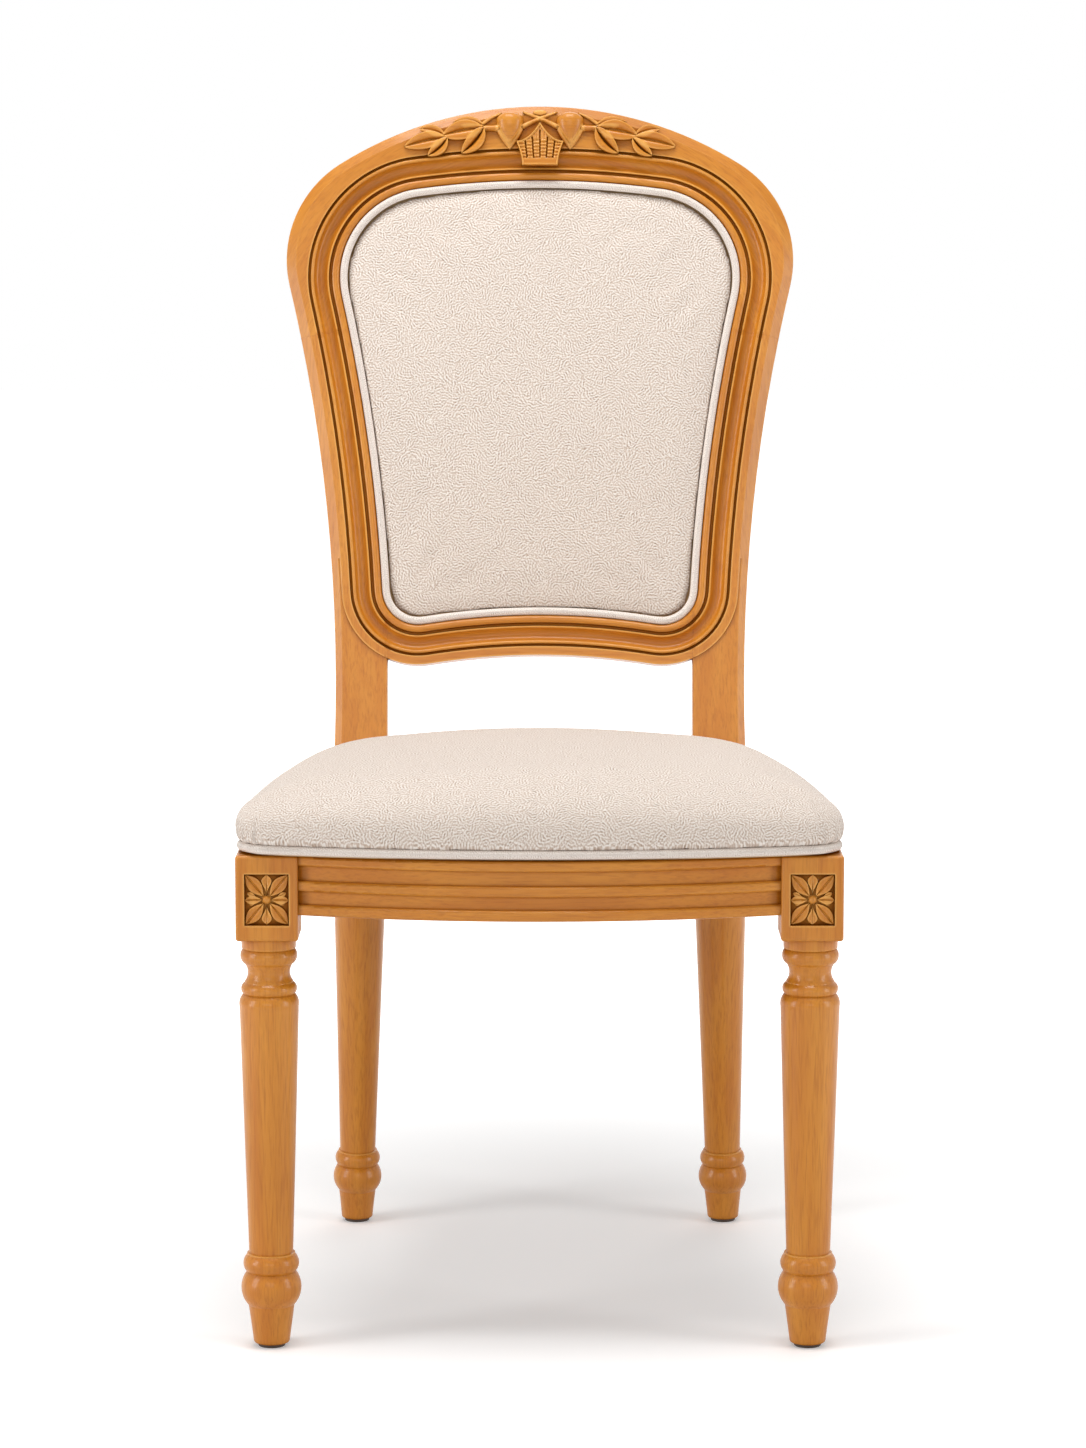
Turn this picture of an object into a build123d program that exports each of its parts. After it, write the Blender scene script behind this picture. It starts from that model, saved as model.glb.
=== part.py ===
from build123d import *

import os
from math import asin, atan2, cos, degrees, hypot, radians, sin

# A dining chair with a moulded arched back, padded back panel and seat,
# turned legs and carved ornament. X runs to the right of somebody who faces it,
# Y runs to the rear and Z runs up from the floor. Left is the side at negative X.

os.makedirs("parts", exist_ok=True)

sides = (("left", -1), ("right", 1))
past_chair = 1000.0

# Seat frame
rail_top = 405.0
rail_height = 48.5
rail_bottom = rail_top - rail_height
rail_middle = rail_top - rail_height / 2
side_rail_thickness = 22.0
rear_rail_thickness = 23.0
rail_setback = 3.0
front_rail_bow = 31.0
front_rail_back = 28.0
reed_heights = (9.0, 10.5, 8.7, 11.6, 8.7)
reed_recess = 4.0
reed_round = 2.6
rear_rail_round = 1.5

# Front legs
front_face_y = -252.0
leg_half_span = 242.0
block_side = 50.0
block_height = 69.0
block_bottom = rail_top - block_height
block_round = 2.5
recess_width = 35.4
recess_height = 41.5
recess_depth = 5.0
recess_middle = block_bottom + 0.486 * block_height

# Turning of the front leg: radius and height at each swell and hollow
column_foot = (17.8, 78.0)
column_top = (23.9, 280.0)
column_shoulder = (23.1, 286.6)
lower_groove = (20.6, 290.0)
lower_ring = (22.5, 294.4)
lower_ring_top = (20.4, 298.6)
cove_lip = (19.6, 299.4)
cove_foot = (19.4, 300.2)
cove = (17.0, 307.4)
cove_top = (19.2, 314.4)
upper_ring_foot = (20.4, 315.2)
upper_ring = (22.9, 321.0)
upper_ring_top = (20.8, 326.6)
neck_foot = (21.8, 327.4)
neck_radius = 22.2

# Turned foot of a front leg, which a rear foot repeats at a smaller size
foot_tip_radius = 14.4
foot_step = (18.6, 34.4)
foot_ball = (24.3, 49.0)
foot_waist = (19.8, 62.0)
foot_collar = (22.5, 69.4)
collar_edge = 1.6
collar_bevel = 0.6
collar_lip = 1.8
rear_foot_width = 0.89
rear_foot_height = 0.86
rear_column_radius = 22.2
rear_taper_top = 277.0

# Rear legs and back
rear_face_y = 150.0
rear_half_span = 183.5
rear_block_depth = 45.0
stile_inner = 135.0
rear_knee = Vector(160.0, 172.5, block_bottom)
rear_foot = Vector(165.5, 199.0, 0.0)
rake = 10.0
frame_thickness = 27.0
crest_height = 603.4
crest_radius = 332.3
shoulder_radius = 101.4
waist_half_width = 180.6
waist_height = 86.0
side_radius = 1548.0
edge_chamfer = 8.5
edge_chamfer_depth = 5.5
rear_round = 4.0
crest_joint = 400.0
stile_width = 43.0
stile_clear = 60.0
rail_clear = 300.0
knee_front = 12.0
knee_foot = -20.0
knee_height = 112.0
knee_slope = 0.5

# Moulding round the opening: how far out from its edge and how far forward of the stiles
ring_width = 35.5
ring_overlap = 3.0
lip_start = 27.8
ring_face = 1.6
ring_run_out = 200.0
inner_bead = ((0, -4.0), (2.9, -1.2), (6.4, -2.2))
quirk = ((6.4, -2.2), (7.1, -6.4), (8.9, -6.4), (9.6, -2.4), (10.8, -2.6))
hollow = ((10.8, -2.6), (17.2, -6.8), (22.4, -1.8))
outer_bead = ((22.6, -0.6), (24.0, ring_face), (25.4, -0.6))
bead_foot = (25.8, -3.0)

# Opening for the padded back panel
opening_top = 537.5
opening_top_radius = 800.0
opening_corner = 80.0
opening_bottom = 150.0
opening_bottom_radius = 650.0
opening_foot_corner = 32.0
rebate_width = 8.0
rebate_front = 14.0

# Seat cushion
cushion_front = front_face_y - 32.0
cushion_corner_y = front_face_y + 2.0
cushion_rear = rear_face_y + 42.0
cushion_half_width = 246.5
cushion_rear_half = 181.0
cushion_corner = 34.0
cushion_rear_corner = 40.0
cushion_top = 475.5
crown_radius = 1300.0
crown_middle_y = -87.0
cushion_roll = 17.0
cushion_draw_in = 5.0
seat_welt_radius = 4.1
seam_height = rail_top + 2 * seat_welt_radius + 0.4
seat_board_thickness = 10.0
board_inset = 10.0
cover_thickness = 2.0
stile_clearance = 1.0
dust_inset = 2.0
dust_thickness = 1.0

# Back pad
back_welt_radius = 3.3
back_board_thickness = 6.0
back_crown = 8.0
back_crown_radius = 2200.0
pad_roll = 5.0
rear_cover_thickness = 8.0
piece_gap = 0.3

# Carved flower in the sunk panel of a front block
ground_thickness = 1.4
petal_foot = 1.0
petal_margin = 1.2
corner_leaf = (10.4, 3.4)
upright_petal = (8.4, 2.9)
side_petal = (9.4, 2.9)
petal_start = 2.0
petal_overrun = 0.6
button_radius = 3.7
button_height = 3.9
button_round = 1.8

# Carving on the crest, across and up from the middle of the back at the rails
leaf_rise = 0.42
leaf_ridge = (0.15, 0.8, 1.0)
glue_line = 0.05
leaves = (
    ((46.5, 582.5), (69.4, 561.5), 12.5),
    ((53.0, 584.5), (74.2, 588.0), 6.4),
    ((53.0, 583.5), (87.8, 575.0), 14.0),
    ((82.0, 572.5), (98.9, 558.8), 8.5),
    ((87.0, 575.6), (106.9, 580.6), 5.8),
    ((86.0, 575.0), (120.5, 567.6), 12.0),
)
stems = (
    ((38.0, 582.7), (50.0, 582.7), 3.0),
    ((36.0, 594.5), (54.0, 585.5), 1.6),
    ((-13.0, 597.0), (22.0, 581.0), 2.2),
)
stem_level = 1.0
fruit_u = 27.5
fruit_v = 587.0
fruit_top = (0, 10.1)
fruit_shoulder = (9.1, 6.3)
fruit_side = (12.6, -2.0)
fruit_cheek = (7.8, -13.0)
fruit_tip = (0, -22.3)
fruit_sunk = 4.0
basket_top = 587.5
basket_rim = 571.0
basket_foot = 549.3
basket_half_top = 21.1
basket_half_foot = 15.8
basket_hollow = (5.1, 578.0)
basket_relief = 7.5
basket_round = 1.0
basket_band = 6.5
basket_fan = -4.0
basket_slot_pitch = 5.2
basket_slot_width = 1.0
basket_slot_length = 24.0
basket_slot_step = 4.6
basket_slot_depth = 2.0

# Fixings
dowel_radius = 4.0
dowel_length = 40.0
dowel_half_pitch = 12.0
front_dowel_depth = 16.0
back_rail_dowel_heights = (116.0, 128.0)
back_rail_dowel_depth = 19.0
crest_dowel_insets = (11.0, 25.0)
crest_dowel_depth = 16.0
hole_clearance = 0.1
hole_end = 0.5
screw_radius = 2.0
screw_head_radius = 4.0
screw_head_height = 2.4
screw_length = 28.0
screw_bite = 14.0
front_screw_x = 150.0
rear_screw_x = 100.0
side_screw_y = (-150.0, 105.0)
seat_screw_points = ((168.0, -185.0), (132.0, 128.0))
board_screw_count = 10
board_screw_length = 10.0
board_screw_radius = 1.6
corner_block_top = rail_top - 3.0
corner_block_height = 20.0
block_bore = 30.0
front_block_reach = (122.0, -125.0)
rear_block_reach = (62.0, 75.0)
glide_height = 3.0
glide_round = 1.0
foot_round = 2.0
glide_radius = 11.0

# Planes and directions that several pieces share
normal = Vector(0, -cos(radians(rake)), sin(radians(rake)))
back_plane = Plane(origin=(0, rear_face_y, rail_top), x_dir=(1, 0, 0), z_dir=normal)
side_centre = waist_half_width + side_radius
joint_angle = asin((crest_joint - waist_height) / (side_radius + stile_width / 2))
joint_run = Vector(sin(joint_angle), cos(joint_angle), 0)
front_block_back = front_face_y + block_side
front_joint_x = leg_half_span - block_side
front_rail_inner_y = front_face_y + front_rail_back
rear_rail_y = rear_face_y + rear_block_depth / 2
rear_rail_inner_y = rear_rail_y - rear_rail_thickness / 2
side_rail_front_x = leg_half_span - rail_setback
side_rail_rear_x = rear_half_span - rail_setback - 1.5
side_rail_run = rear_face_y - front_block_back
side_rail_slope = (side_rail_front_x - side_rail_rear_x) / side_rail_run
side_rail_angle = degrees(atan2(side_rail_slope, 1))
side_normal = Vector(cos(radians(side_rail_angle)), sin(radians(side_rail_angle)), 0)


def side_rail_x(y, depth=0.0):
    """X of the right-hand side rail at y, depth in from its outer face."""
    outer = side_rail_front_x - side_rail_slope * (y - front_block_back)
    return outer - depth / cos(radians(side_rail_angle))


def on_crest_joint(inward):
    """Point of the right-hand joint under the crest, inward from the outer edge of the stile."""
    radius = side_radius + inward
    return Vector(side_centre - radius * cos(joint_angle), waist_height + radius * sin(joint_angle), 0)


def toward(point, direction):
    """A place at a point whose Z axis runs in a direction."""
    return Plane(origin=point, z_dir=direction).location


def on_side(vector, side):
    """The same point or direction on the left or right half of the chair."""
    return Vector(vector.X * side, vector.Y, vector.Z)


# Dowels through the joints of the seat frame and of the back
seat_dowel_places = []
back_dowel_places = []
for word, side in sides:
    for height in (rail_middle - dowel_half_pitch, rail_middle + dowel_half_pitch):
        front_end = Vector(front_joint_x, front_face_y + front_dowel_depth, height)
        seat_dowel_places.append(toward(on_side(front_end, side), (1, 0, 0)))
        rear_end = Vector(stile_inner, rear_rail_y, height)
        seat_dowel_places.append(toward(on_side(rear_end, side), (1, 0, 0)))
        for y in (front_block_back, rear_face_y):
            rail_end = Vector(side_rail_x(y, side_rail_thickness / 2), y, height)
            seat_dowel_places.append(toward(on_side(rail_end, side), (0, 1, 0)))
    for height in back_rail_dowel_heights:
        point = back_plane.from_local_coords(Vector(stile_inner * side, height, -back_rail_dowel_depth))
        back_dowel_places.append(toward(point, (1, 0, 0)))
    for inward in crest_dowel_insets:
        point = back_plane.from_local_coords(on_crest_joint(inward)) - normal * crest_dowel_depth
        run = back_plane.x_dir * joint_run.X + back_plane.y_dir * joint_run.Y
        back_dowel_places.append(toward(on_side(point, side), on_side(run, side)))

# Screws: each place is under the head and points the way the screw is driven
block_screw_places = []
seat_screw_places = []
block_middle = corner_block_top - corner_block_height / 2
block_underside = corner_block_top - corner_block_height
for word, side in sides:
    into_front = Vector(front_screw_x, front_rail_inner_y + screw_bite, block_middle)
    block_screw_places.append(toward(on_side(into_front, side), (0, -1, 0)))
    into_rear = Vector(rear_screw_x, rear_rail_inner_y - screw_bite, block_middle)
    block_screw_places.append(toward(on_side(into_rear, side), (0, 1, 0)))
    for y in side_screw_y:
        inner_face = Vector(side_rail_x(y, side_rail_thickness), y, block_middle)
        head = inner_face - side_normal * screw_bite
        block_screw_places.append(toward(on_side(head, side), on_side(side_normal, side)))
    for x, y in seat_screw_points:
        seat_screw_places.append(toward((x * side, y, block_underside), (0, 0, 1)))


def cut_dowel_holes(places):
    with Locations(*places):
        Cylinder(dowel_radius + hole_clearance, dowel_length + 4 * hole_end, mode=Mode.SUBTRACT)


def cut_screw_holes(places):
    with Locations(*places):
        Cylinder(
            screw_radius + hole_clearance,
            screw_length + hole_end,
            align=(Align.CENTER, Align.CENTER, Align.MIN),
            mode=Mode.SUBTRACT,
        )


def cut_screw_heads(places, depth):
    with Locations(*places):
        Cylinder(
            screw_head_radius + hole_clearance,
            depth + screw_head_height,
            align=(Align.CENTER, Align.CENTER, Align.MAX),
            mode=Mode.SUBTRACT,
        )
        Cylinder(
            screw_head_radius + hole_clearance,
            screw_head_height,
            align=(Align.CENTER, Align.CENTER, Align.MIN),
            mode=Mode.SUBTRACT,
        )


def foot_lines(wide, tall, start):
    """Outline of a turned foot from its axis to the bottom of the tapered column."""
    step, ball, waist, collar, column = (
        Vector(wide * radius, tall * height)
        for radius, height in (foot_step, foot_ball, foot_waist, foot_collar, column_foot)
    )
    lip = column + Vector(collar_edge * wide, -collar_bevel * tall)
    collar_top = column + Vector(collar_edge * wide, -collar_lip * tall)
    Polyline((0, start), (foot_tip_radius * wide, start), step)
    ThreePointArc(step, ball, waist)
    ThreePointArc(waist, collar, collar_top)
    Polyline(collar_top, lip, column)
    return column


def leaf(plane, base, tip, width, rise):
    """A pointed leaf with sloping sides, from base to tip on a plane."""
    chord = hypot(tip[0] - base[0], tip[1] - base[1])
    angle = degrees(atan2(tip[1] - base[1], tip[0] - base[0]))
    blade_plane = Plane(plane * Location((base[0], base[1], 0), (0, 0, angle)))
    sections = []
    ridge_start, ridge_end, ridge_width = leaf_ridge
    ridge = (rise, ridge_start * chord, ridge_end * chord, ridge_width)
    for level, start, end, spread in ((0, 0, chord, width), ridge):
        with BuildSketch(blade_plane.offset(level)) as blade:
            with BuildLine():
                SagittaArc((start, 0), (end, 0), spread / 2)
                SagittaArc((end, 0), (start, 0), spread / 2)
            make_face()
        sections.append(blade.sketch)
    loft(sections, ruled=True)


# Front legs: a turned leg under a square block with a sunk panel on its face
for word, side in sides:
    axis_x = side * (leg_half_span - block_side / 2)
    axis_y = front_face_y + block_side / 2
    leg_plane = Plane(origin=(axis_x, axis_y, 0), x_dir=(1, 0, 0), z_dir=(0, -1, 0))
    block_plane = Plane(origin=(axis_x, axis_y, block_bottom))
    face_plane = Plane(origin=(axis_x, front_face_y, recess_middle), x_dir=(1, 0, 0), z_dir=(0, -1, 0))
    with BuildPart() as front_leg:
        with BuildSketch(block_plane):
            Rectangle(block_side, block_side)
        extrude(amount=block_height)
        fillet(front_leg.edges(), block_round)
        with BuildSketch(leg_plane):
            with BuildLine():
                column_base = foot_lines(1, 1, glide_height)
                Line(column_base, column_top)
                ThreePointArc(column_top, column_shoulder, lower_groove)
                ThreePointArc(lower_groove, lower_ring, lower_ring_top)
                Polyline(lower_ring_top, cove_lip, cove_foot)
                ThreePointArc(cove_foot, cove, cove_top)
                Line(cove_top, upper_ring_foot)
                ThreePointArc(upper_ring_foot, upper_ring, upper_ring_top)
                inside = block_bottom + block_round
                Polyline(upper_ring_top, neck_foot, (neck_radius, inside), (0, inside), (0, glide_height))
            make_face()
        revolve(axis=Axis((axis_x, axis_y, 0), (0, 0, 1)))
        fillet(front_leg.edges().group_by(Axis.Z)[0], foot_round)
        with BuildSketch(face_plane):
            Rectangle(recess_width, recess_height)
        extrude(amount=-recess_depth, mode=Mode.SUBTRACT)
        cut_dowel_holes(seat_dowel_places)
    front_leg.part.label = f"front_{word}_leg"
    export_step(front_leg.part, f"parts/front_{word}_leg.step")

    # Carved flower in the sunk panel: four pointed leaves, four petals and a button
    flower_plane = face_plane.offset(-recess_depth)
    leaf_plane = flower_plane.offset(petal_foot)
    reach_x = recess_width / 2 - petal_margin
    reach_z = recess_height / 2 - petal_margin
    with BuildPart() as rosette:
        with BuildSketch(flower_plane):
            Rectangle(recess_width - 2 * hole_clearance, recess_height - 2 * hole_clearance)
        extrude(amount=ground_thickness)
        for across, up in ((1, 1), (1, -1), (-1, 1), (-1, -1)):
            leaf(leaf_plane, (across, up), (across * reach_x, up * reach_z), *corner_leaf)
        for up in (1, -1):
            leaf(leaf_plane, (0, up * petal_start), (0, up * (reach_z + petal_overrun)), *upright_petal)
        for across in (1, -1):
            leaf(leaf_plane, (across * petal_start, 0), (across * (reach_x + petal_overrun), 0), *side_petal)
        with BuildSketch(leaf_plane):
            Circle(button_radius)
        extrude(amount=button_height)
        fillet(rosette.edges().filter_by(GeomType.CIRCLE).sort_by(Axis.Y)[0], button_round)
    rosette.part.label = f"{word}_rosette"
    export_step(rosette.part, f"parts/{word}_rosette.step")

# Reeded front rail with a bowed face: three rounded bands and two sunk bands
with BuildPart() as front_seat_rail:
    level = rail_bottom
    for band, height in enumerate(reed_heights):
        sunk = reed_recess * (band % 2)
        end_y = front_face_y + rail_setback + sunk
        bow_y = end_y - front_rail_bow
        with BuildSketch(Plane.XY.offset(level)):
            with BuildLine():
                ThreePointArc((-front_joint_x, end_y), (0, bow_y), (front_joint_x, end_y))
                Polyline(
                    (front_joint_x, end_y),
                    (front_joint_x, front_rail_inner_y),
                    (-front_joint_x, front_rail_inner_y),
                    (-front_joint_x, end_y),
                )
            make_face()
        extrude(amount=height)
        level += height
    bowed = front_seat_rail.edges().filter_by(GeomType.CIRCLE)
    fillet(bowed.filter_by(lambda edge: edge.center().Y < front_face_y - front_rail_bow + 5), reed_round)
    cut_dowel_holes(seat_dowel_places)
    cut_screw_holes(block_screw_places)
front_seat_rail.part.label = "front_seat_rail"
export_step(front_seat_rail.part, "parts/front_seat_rail.step")

# Reeded side rails, which close in toward the rear
for word, side in sides:
    with BuildPart() as side_rail:
        level = rail_bottom
        for band, height in enumerate(reed_heights):
            sunk = reed_recess * (band % 2)
            with BuildSketch(Plane.XY.offset(level)):
                with BuildLine():
                    Polyline(
                        (side * side_rail_x(front_block_back, sunk), front_block_back),
                        (side * side_rail_x(rear_face_y, sunk), rear_face_y),
                        (side * side_rail_x(rear_face_y, side_rail_thickness), rear_face_y),
                        (side * side_rail_x(front_block_back, side_rail_thickness), front_block_back),
                        close=True,
                    )
                make_face()
            extrude(amount=height)
            level += height
        outer_middle = side_rail_x((front_block_back + rear_face_y) / 2, 1)
        long_edges = side_rail.edges().filter_by(lambda edge: edge.length > side_rail_run)
        fillet(long_edges.filter_by(lambda edge: edge.center().X * side > outer_middle), reed_round)
        cut_dowel_holes(seat_dowel_places)
        cut_screw_holes(block_screw_places)
    side_rail.part.label = f"{word}_seat_rail"
    export_step(side_rail.part, f"parts/{word}_seat_rail.step")

# Plain rear rail between the rear legs
with BuildPart() as rear_seat_rail:
    with BuildSketch(Plane(origin=(0, rear_rail_y, rail_bottom))):
        Rectangle(2 * stile_inner, rear_rail_thickness)
    extrude(amount=rail_height)
    fillet(rear_seat_rail.edges().filter_by(Axis.X), rear_rail_round)
    cut_dowel_holes(seat_dowel_places)
    cut_screw_holes(block_screw_places)
rear_seat_rail.part.label = "rear_seat_rail"
export_step(rear_seat_rail.part, "parts/rear_seat_rail.step")

# Corner blocks, notched round the legs
for word, side in sides:
    front_corner = (
        (side * front_block_reach[0], front_rail_inner_y),
        (side * front_joint_x, front_rail_inner_y),
        (side * front_joint_x, front_block_back),
        (side * side_rail_x(front_block_back, side_rail_thickness), front_block_back),
        (side * side_rail_x(front_block_reach[1], side_rail_thickness), front_block_reach[1]),
    )
    rear_corner = (
        (side * side_rail_x(rear_block_reach[1], side_rail_thickness), rear_block_reach[1]),
        (side * side_rail_x(rear_face_y, side_rail_thickness), rear_face_y),
        (side * stile_inner, rear_face_y),
        (side * stile_inner, rear_rail_inner_y),
        (side * rear_block_reach[0], rear_rail_inner_y),
    )
    for end, corner in (("front", front_corner), ("rear", rear_corner)):
        with BuildPart() as corner_block:
            with BuildSketch(Plane.XY.offset(block_underside)):
                with BuildLine():
                    Polyline(*corner, close=True)
                make_face()
            extrude(amount=corner_block_height)
            cut_screw_holes(block_screw_places + seat_screw_places)
            cut_screw_heads(block_screw_places, block_bore)
            cut_screw_heads(seat_screw_places, 0)
        corner_block.part.label = f"{end}_{word}_corner_block"
        export_step(corner_block.part, f"parts/{end}_{word}_corner_block.step")


def screws(places):
    """Countersunk wood screws, each under its place and along its direction."""
    with Locations(*places):
        Cylinder(screw_radius, screw_length, align=(Align.CENTER, Align.CENTER, Align.MIN))
        Cone(
            screw_head_radius,
            screw_radius,
            screw_head_height,
            align=(Align.CENTER, Align.CENTER, Align.MIN),
        )


with BuildPart() as corner_block_screws:
    screws(block_screw_places)
corner_block_screws.part.label = "corner_block_screws"
export_step(corner_block_screws.part, "parts/corner_block_screws.step")

with BuildPart() as seat_screws:
    screws(seat_screw_places)
seat_screws.part.label = "seat_screws"
export_step(seat_screws.part, "parts/seat_screws.step")

with BuildPart() as seat_rail_dowels:
    with Locations(*seat_dowel_places):
        Cylinder(dowel_radius, dowel_length)
seat_rail_dowels.part.label = "seat_rail_dowels"
export_step(seat_rail_dowels.part, "parts/seat_rail_dowels.step")

with BuildPart() as back_dowels:
    with Locations(*back_dowel_places):
        Cylinder(dowel_radius, dowel_length)
back_dowels.part.label = "back_dowels"
export_step(back_dowels.part, "parts/back_dowels.step")

# Outline of the back: an arched crest over sides that curve in to a waist
with BuildSketch(back_plane) as outline:
    with Locations((0, crest_height - crest_radius)):
        Circle(crest_radius)
    with Locations((side_centre, waist_height), (-side_centre, waist_height)):
        Circle(side_radius, mode=Mode.SUBTRACT)
    with Locations((0, 0)):
        Rectangle(past_chair, past_chair, align=(Align.CENTER, Align.MAX), mode=Mode.SUBTRACT)
    fillet(outline.vertices().group_by(Axis.Y)[-1], shoulder_radius)


def opening_plan(grow):
    """Outline of the panel opening, with a foot that arches up, grown outward all round."""
    with BuildSketch() as plan:
        Rectangle(past_chair, past_chair, align=(Align.CENTER, Align.MIN))
        with Locations((0, opening_top - opening_top_radius)):
            Circle(opening_top_radius + grow, mode=Mode.INTERSECT)
        with Locations((side_centre, waist_height), (-side_centre, waist_height)):
            Circle(side_radius + stile_width - grow, mode=Mode.SUBTRACT)
        with Locations((0, opening_bottom - opening_bottom_radius)):
            Circle(opening_bottom_radius - grow, mode=Mode.SUBTRACT)
        fillet(plan.vertices().group_by(Axis.Y)[-1], opening_corner + grow)
        fillet(plan.vertices().group_by(Axis.Y)[0], opening_foot_corner + grow)
    return plan.sketch


# Moulded frame of the back in one blank, before it is cut into crest, stiles and rail
with BuildSketch(back_plane) as opening:
    add(opening_plan(0))
ring_path = opening.sketch.face().outer_wire()
path_start = ring_path @ 0
path_run = ring_path % 0
outward = path_run.cross(normal)
if outward.dot(path_start - opening.sketch.center()) < 0:
    outward = -outward
section_plane = Plane(origin=path_start, x_dir=outward, z_dir=outward.cross(normal))
with BuildPart() as back_frame:
    with BuildSketch(back_plane.offset(ring_face)):
        add(outline.sketch_local)
    extrude(amount=-frame_thickness - ring_face)
    front_face = back_frame.faces().sort_by(Axis((0, 0, 0), normal))[-1]
    rim = front_face.edges().filter_by(GeomType.CIRCLE)
    chamfer(rim, length=edge_chamfer, length2=edge_chamfer_depth, reference=front_face)
    rear_face = back_frame.faces().sort_by(Axis((0, 0, 0), normal))[0]
    fillet(rear_face.edges().filter_by(GeomType.CIRCLE), rear_round)
    with BuildSketch(back_plane):
        Rectangle(2 * stile_inner, opening_bottom, align=(Align.CENTER, Align.MIN))
        add(opening_plan(ring_width), mode=Mode.SUBTRACT)
        add(opening_plan(lip_start))
    extrude(amount=frame_thickness * 2, both=True, mode=Mode.SUBTRACT)
    with BuildSketch(back_plane):
        Rectangle(past_chair, ring_run_out, align=(Align.CENTER, Align.MIN))
        add(opening_plan(ring_width), mode=Mode.SUBTRACT)
    extrude(amount=2 * ring_face, mode=Mode.SUBTRACT)
    with BuildSketch(section_plane) as section:
        with BuildLine():
            Line((0, -rebate_front), inner_bead[0])
            ThreePointArc(*inner_bead)
            Polyline(*quirk)
            ThreePointArc(*hollow)
            Line(hollow[-1], outer_bead[0])
            ThreePointArc(*outer_bead)
            Polyline(
                outer_bead[-1],
                bead_foot,
                (lip_start + ring_overlap, bead_foot[1]),
                (lip_start + ring_overlap, -frame_thickness),
                (rebate_width, -frame_thickness),
                (rebate_width, -rebate_front),
                (0, -rebate_front),
            )
        make_face()
    sweep(section.sketch, path=ring_path)

# Part of the blank that belongs to the right-hand stile, up to its joint with the crest
with BuildSketch() as stile_zone:
    with BuildLine():
        Polyline(
            (stile_inner, -stile_clear),
            (rear_half_span + 2 * stile_clear, -stile_clear),
            on_crest_joint(-stile_clear),
            on_crest_joint(stile_width + stile_clear / 2),
            (stile_inner, rail_clear),
            close=True,
        )
    make_face()

# Screws that hold the back board in its rebate
board_screw_places = []
with BuildSketch(back_plane) as screw_line:
    add(opening_plan(rebate_width / 2))
screw_path = screw_line.sketch.face().outer_wire()
board_back = rebate_front + back_board_thickness
for index in range(board_screw_count):
    point = screw_path @ ((index + 0.5) / board_screw_count)
    if point.X > 0:
        for _, side in sides:
            seat_point = on_side(point, side) - normal * board_back
            board_screw_places.append(toward(seat_point, normal))


def cut_board_screw_holes():
    with Locations(*board_screw_places):
        Cylinder(
            board_screw_radius + hole_clearance,
            board_screw_length + hole_end,
            align=(Align.CENTER, Align.CENTER, Align.MIN),
            mode=Mode.SUBTRACT,
        )


with BuildPart() as back_board_screws:
    with Locations(*board_screw_places):
        Cylinder(
            board_screw_radius,
            board_screw_length,
            align=(Align.CENTER, Align.CENTER, Align.MIN),
        )
back_board_screws.part.label = "back_board_screws"
export_step(back_board_screws.part, "parts/back_board_screws.step")

with BuildPart() as crest_rail:
    add(back_frame.part)
    with BuildSketch(back_plane):
        add(stile_zone.sketch)
        mirror(stile_zone.sketch, about=Plane.YZ)
        Rectangle(2 * stile_inner, rail_clear, align=(Align.CENTER, Align.MIN))
    extrude(amount=frame_thickness * 2, both=True, mode=Mode.SUBTRACT)
    cut_dowel_holes(back_dowel_places)
    cut_board_screw_holes()
crest_rail.part.label = "crest_rail"
export_step(crest_rail.part, "parts/crest_rail.step")

with BuildPart() as lower_back_rail:
    add(back_frame.part)
    with BuildSketch(back_plane):
        Rectangle(2 * stile_inner, rail_clear, align=(Align.CENTER, Align.MIN))
    extrude(amount=frame_thickness * 2, both=True, mode=Mode.INTERSECT)
    cut_dowel_holes(back_dowel_places)
    cut_board_screw_holes()
lower_back_rail.part.label = "lower_back_rail"
export_step(lower_back_rail.part, "parts/lower_back_rail.step")

# Rear legs: the back's stile, a square block at the rails and a turned leg in one piece
leg_line = (rear_knee - rear_foot).normalized()
across = (Vector(1, 0, 0) - leg_line * leg_line.X).normalized()
turning_plane = Plane(origin=rear_foot, x_dir=across, z_dir=across.cross(leg_line))
leg_length = (rear_knee - rear_foot).length
wedge_low = back_plane.from_local_coords(Vector(0, knee_foot, -knee_front))
wedge_high = back_plane.from_local_coords(Vector(0, knee_height, -knee_front))
rear_y = rear_face_y + rear_block_depth
with BuildPart() as right_stile:
    add(back_frame.part)
    with BuildSketch(back_plane):
        add(stile_zone.sketch)
    extrude(amount=frame_thickness * 2, both=True, mode=Mode.INTERSECT)

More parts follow.
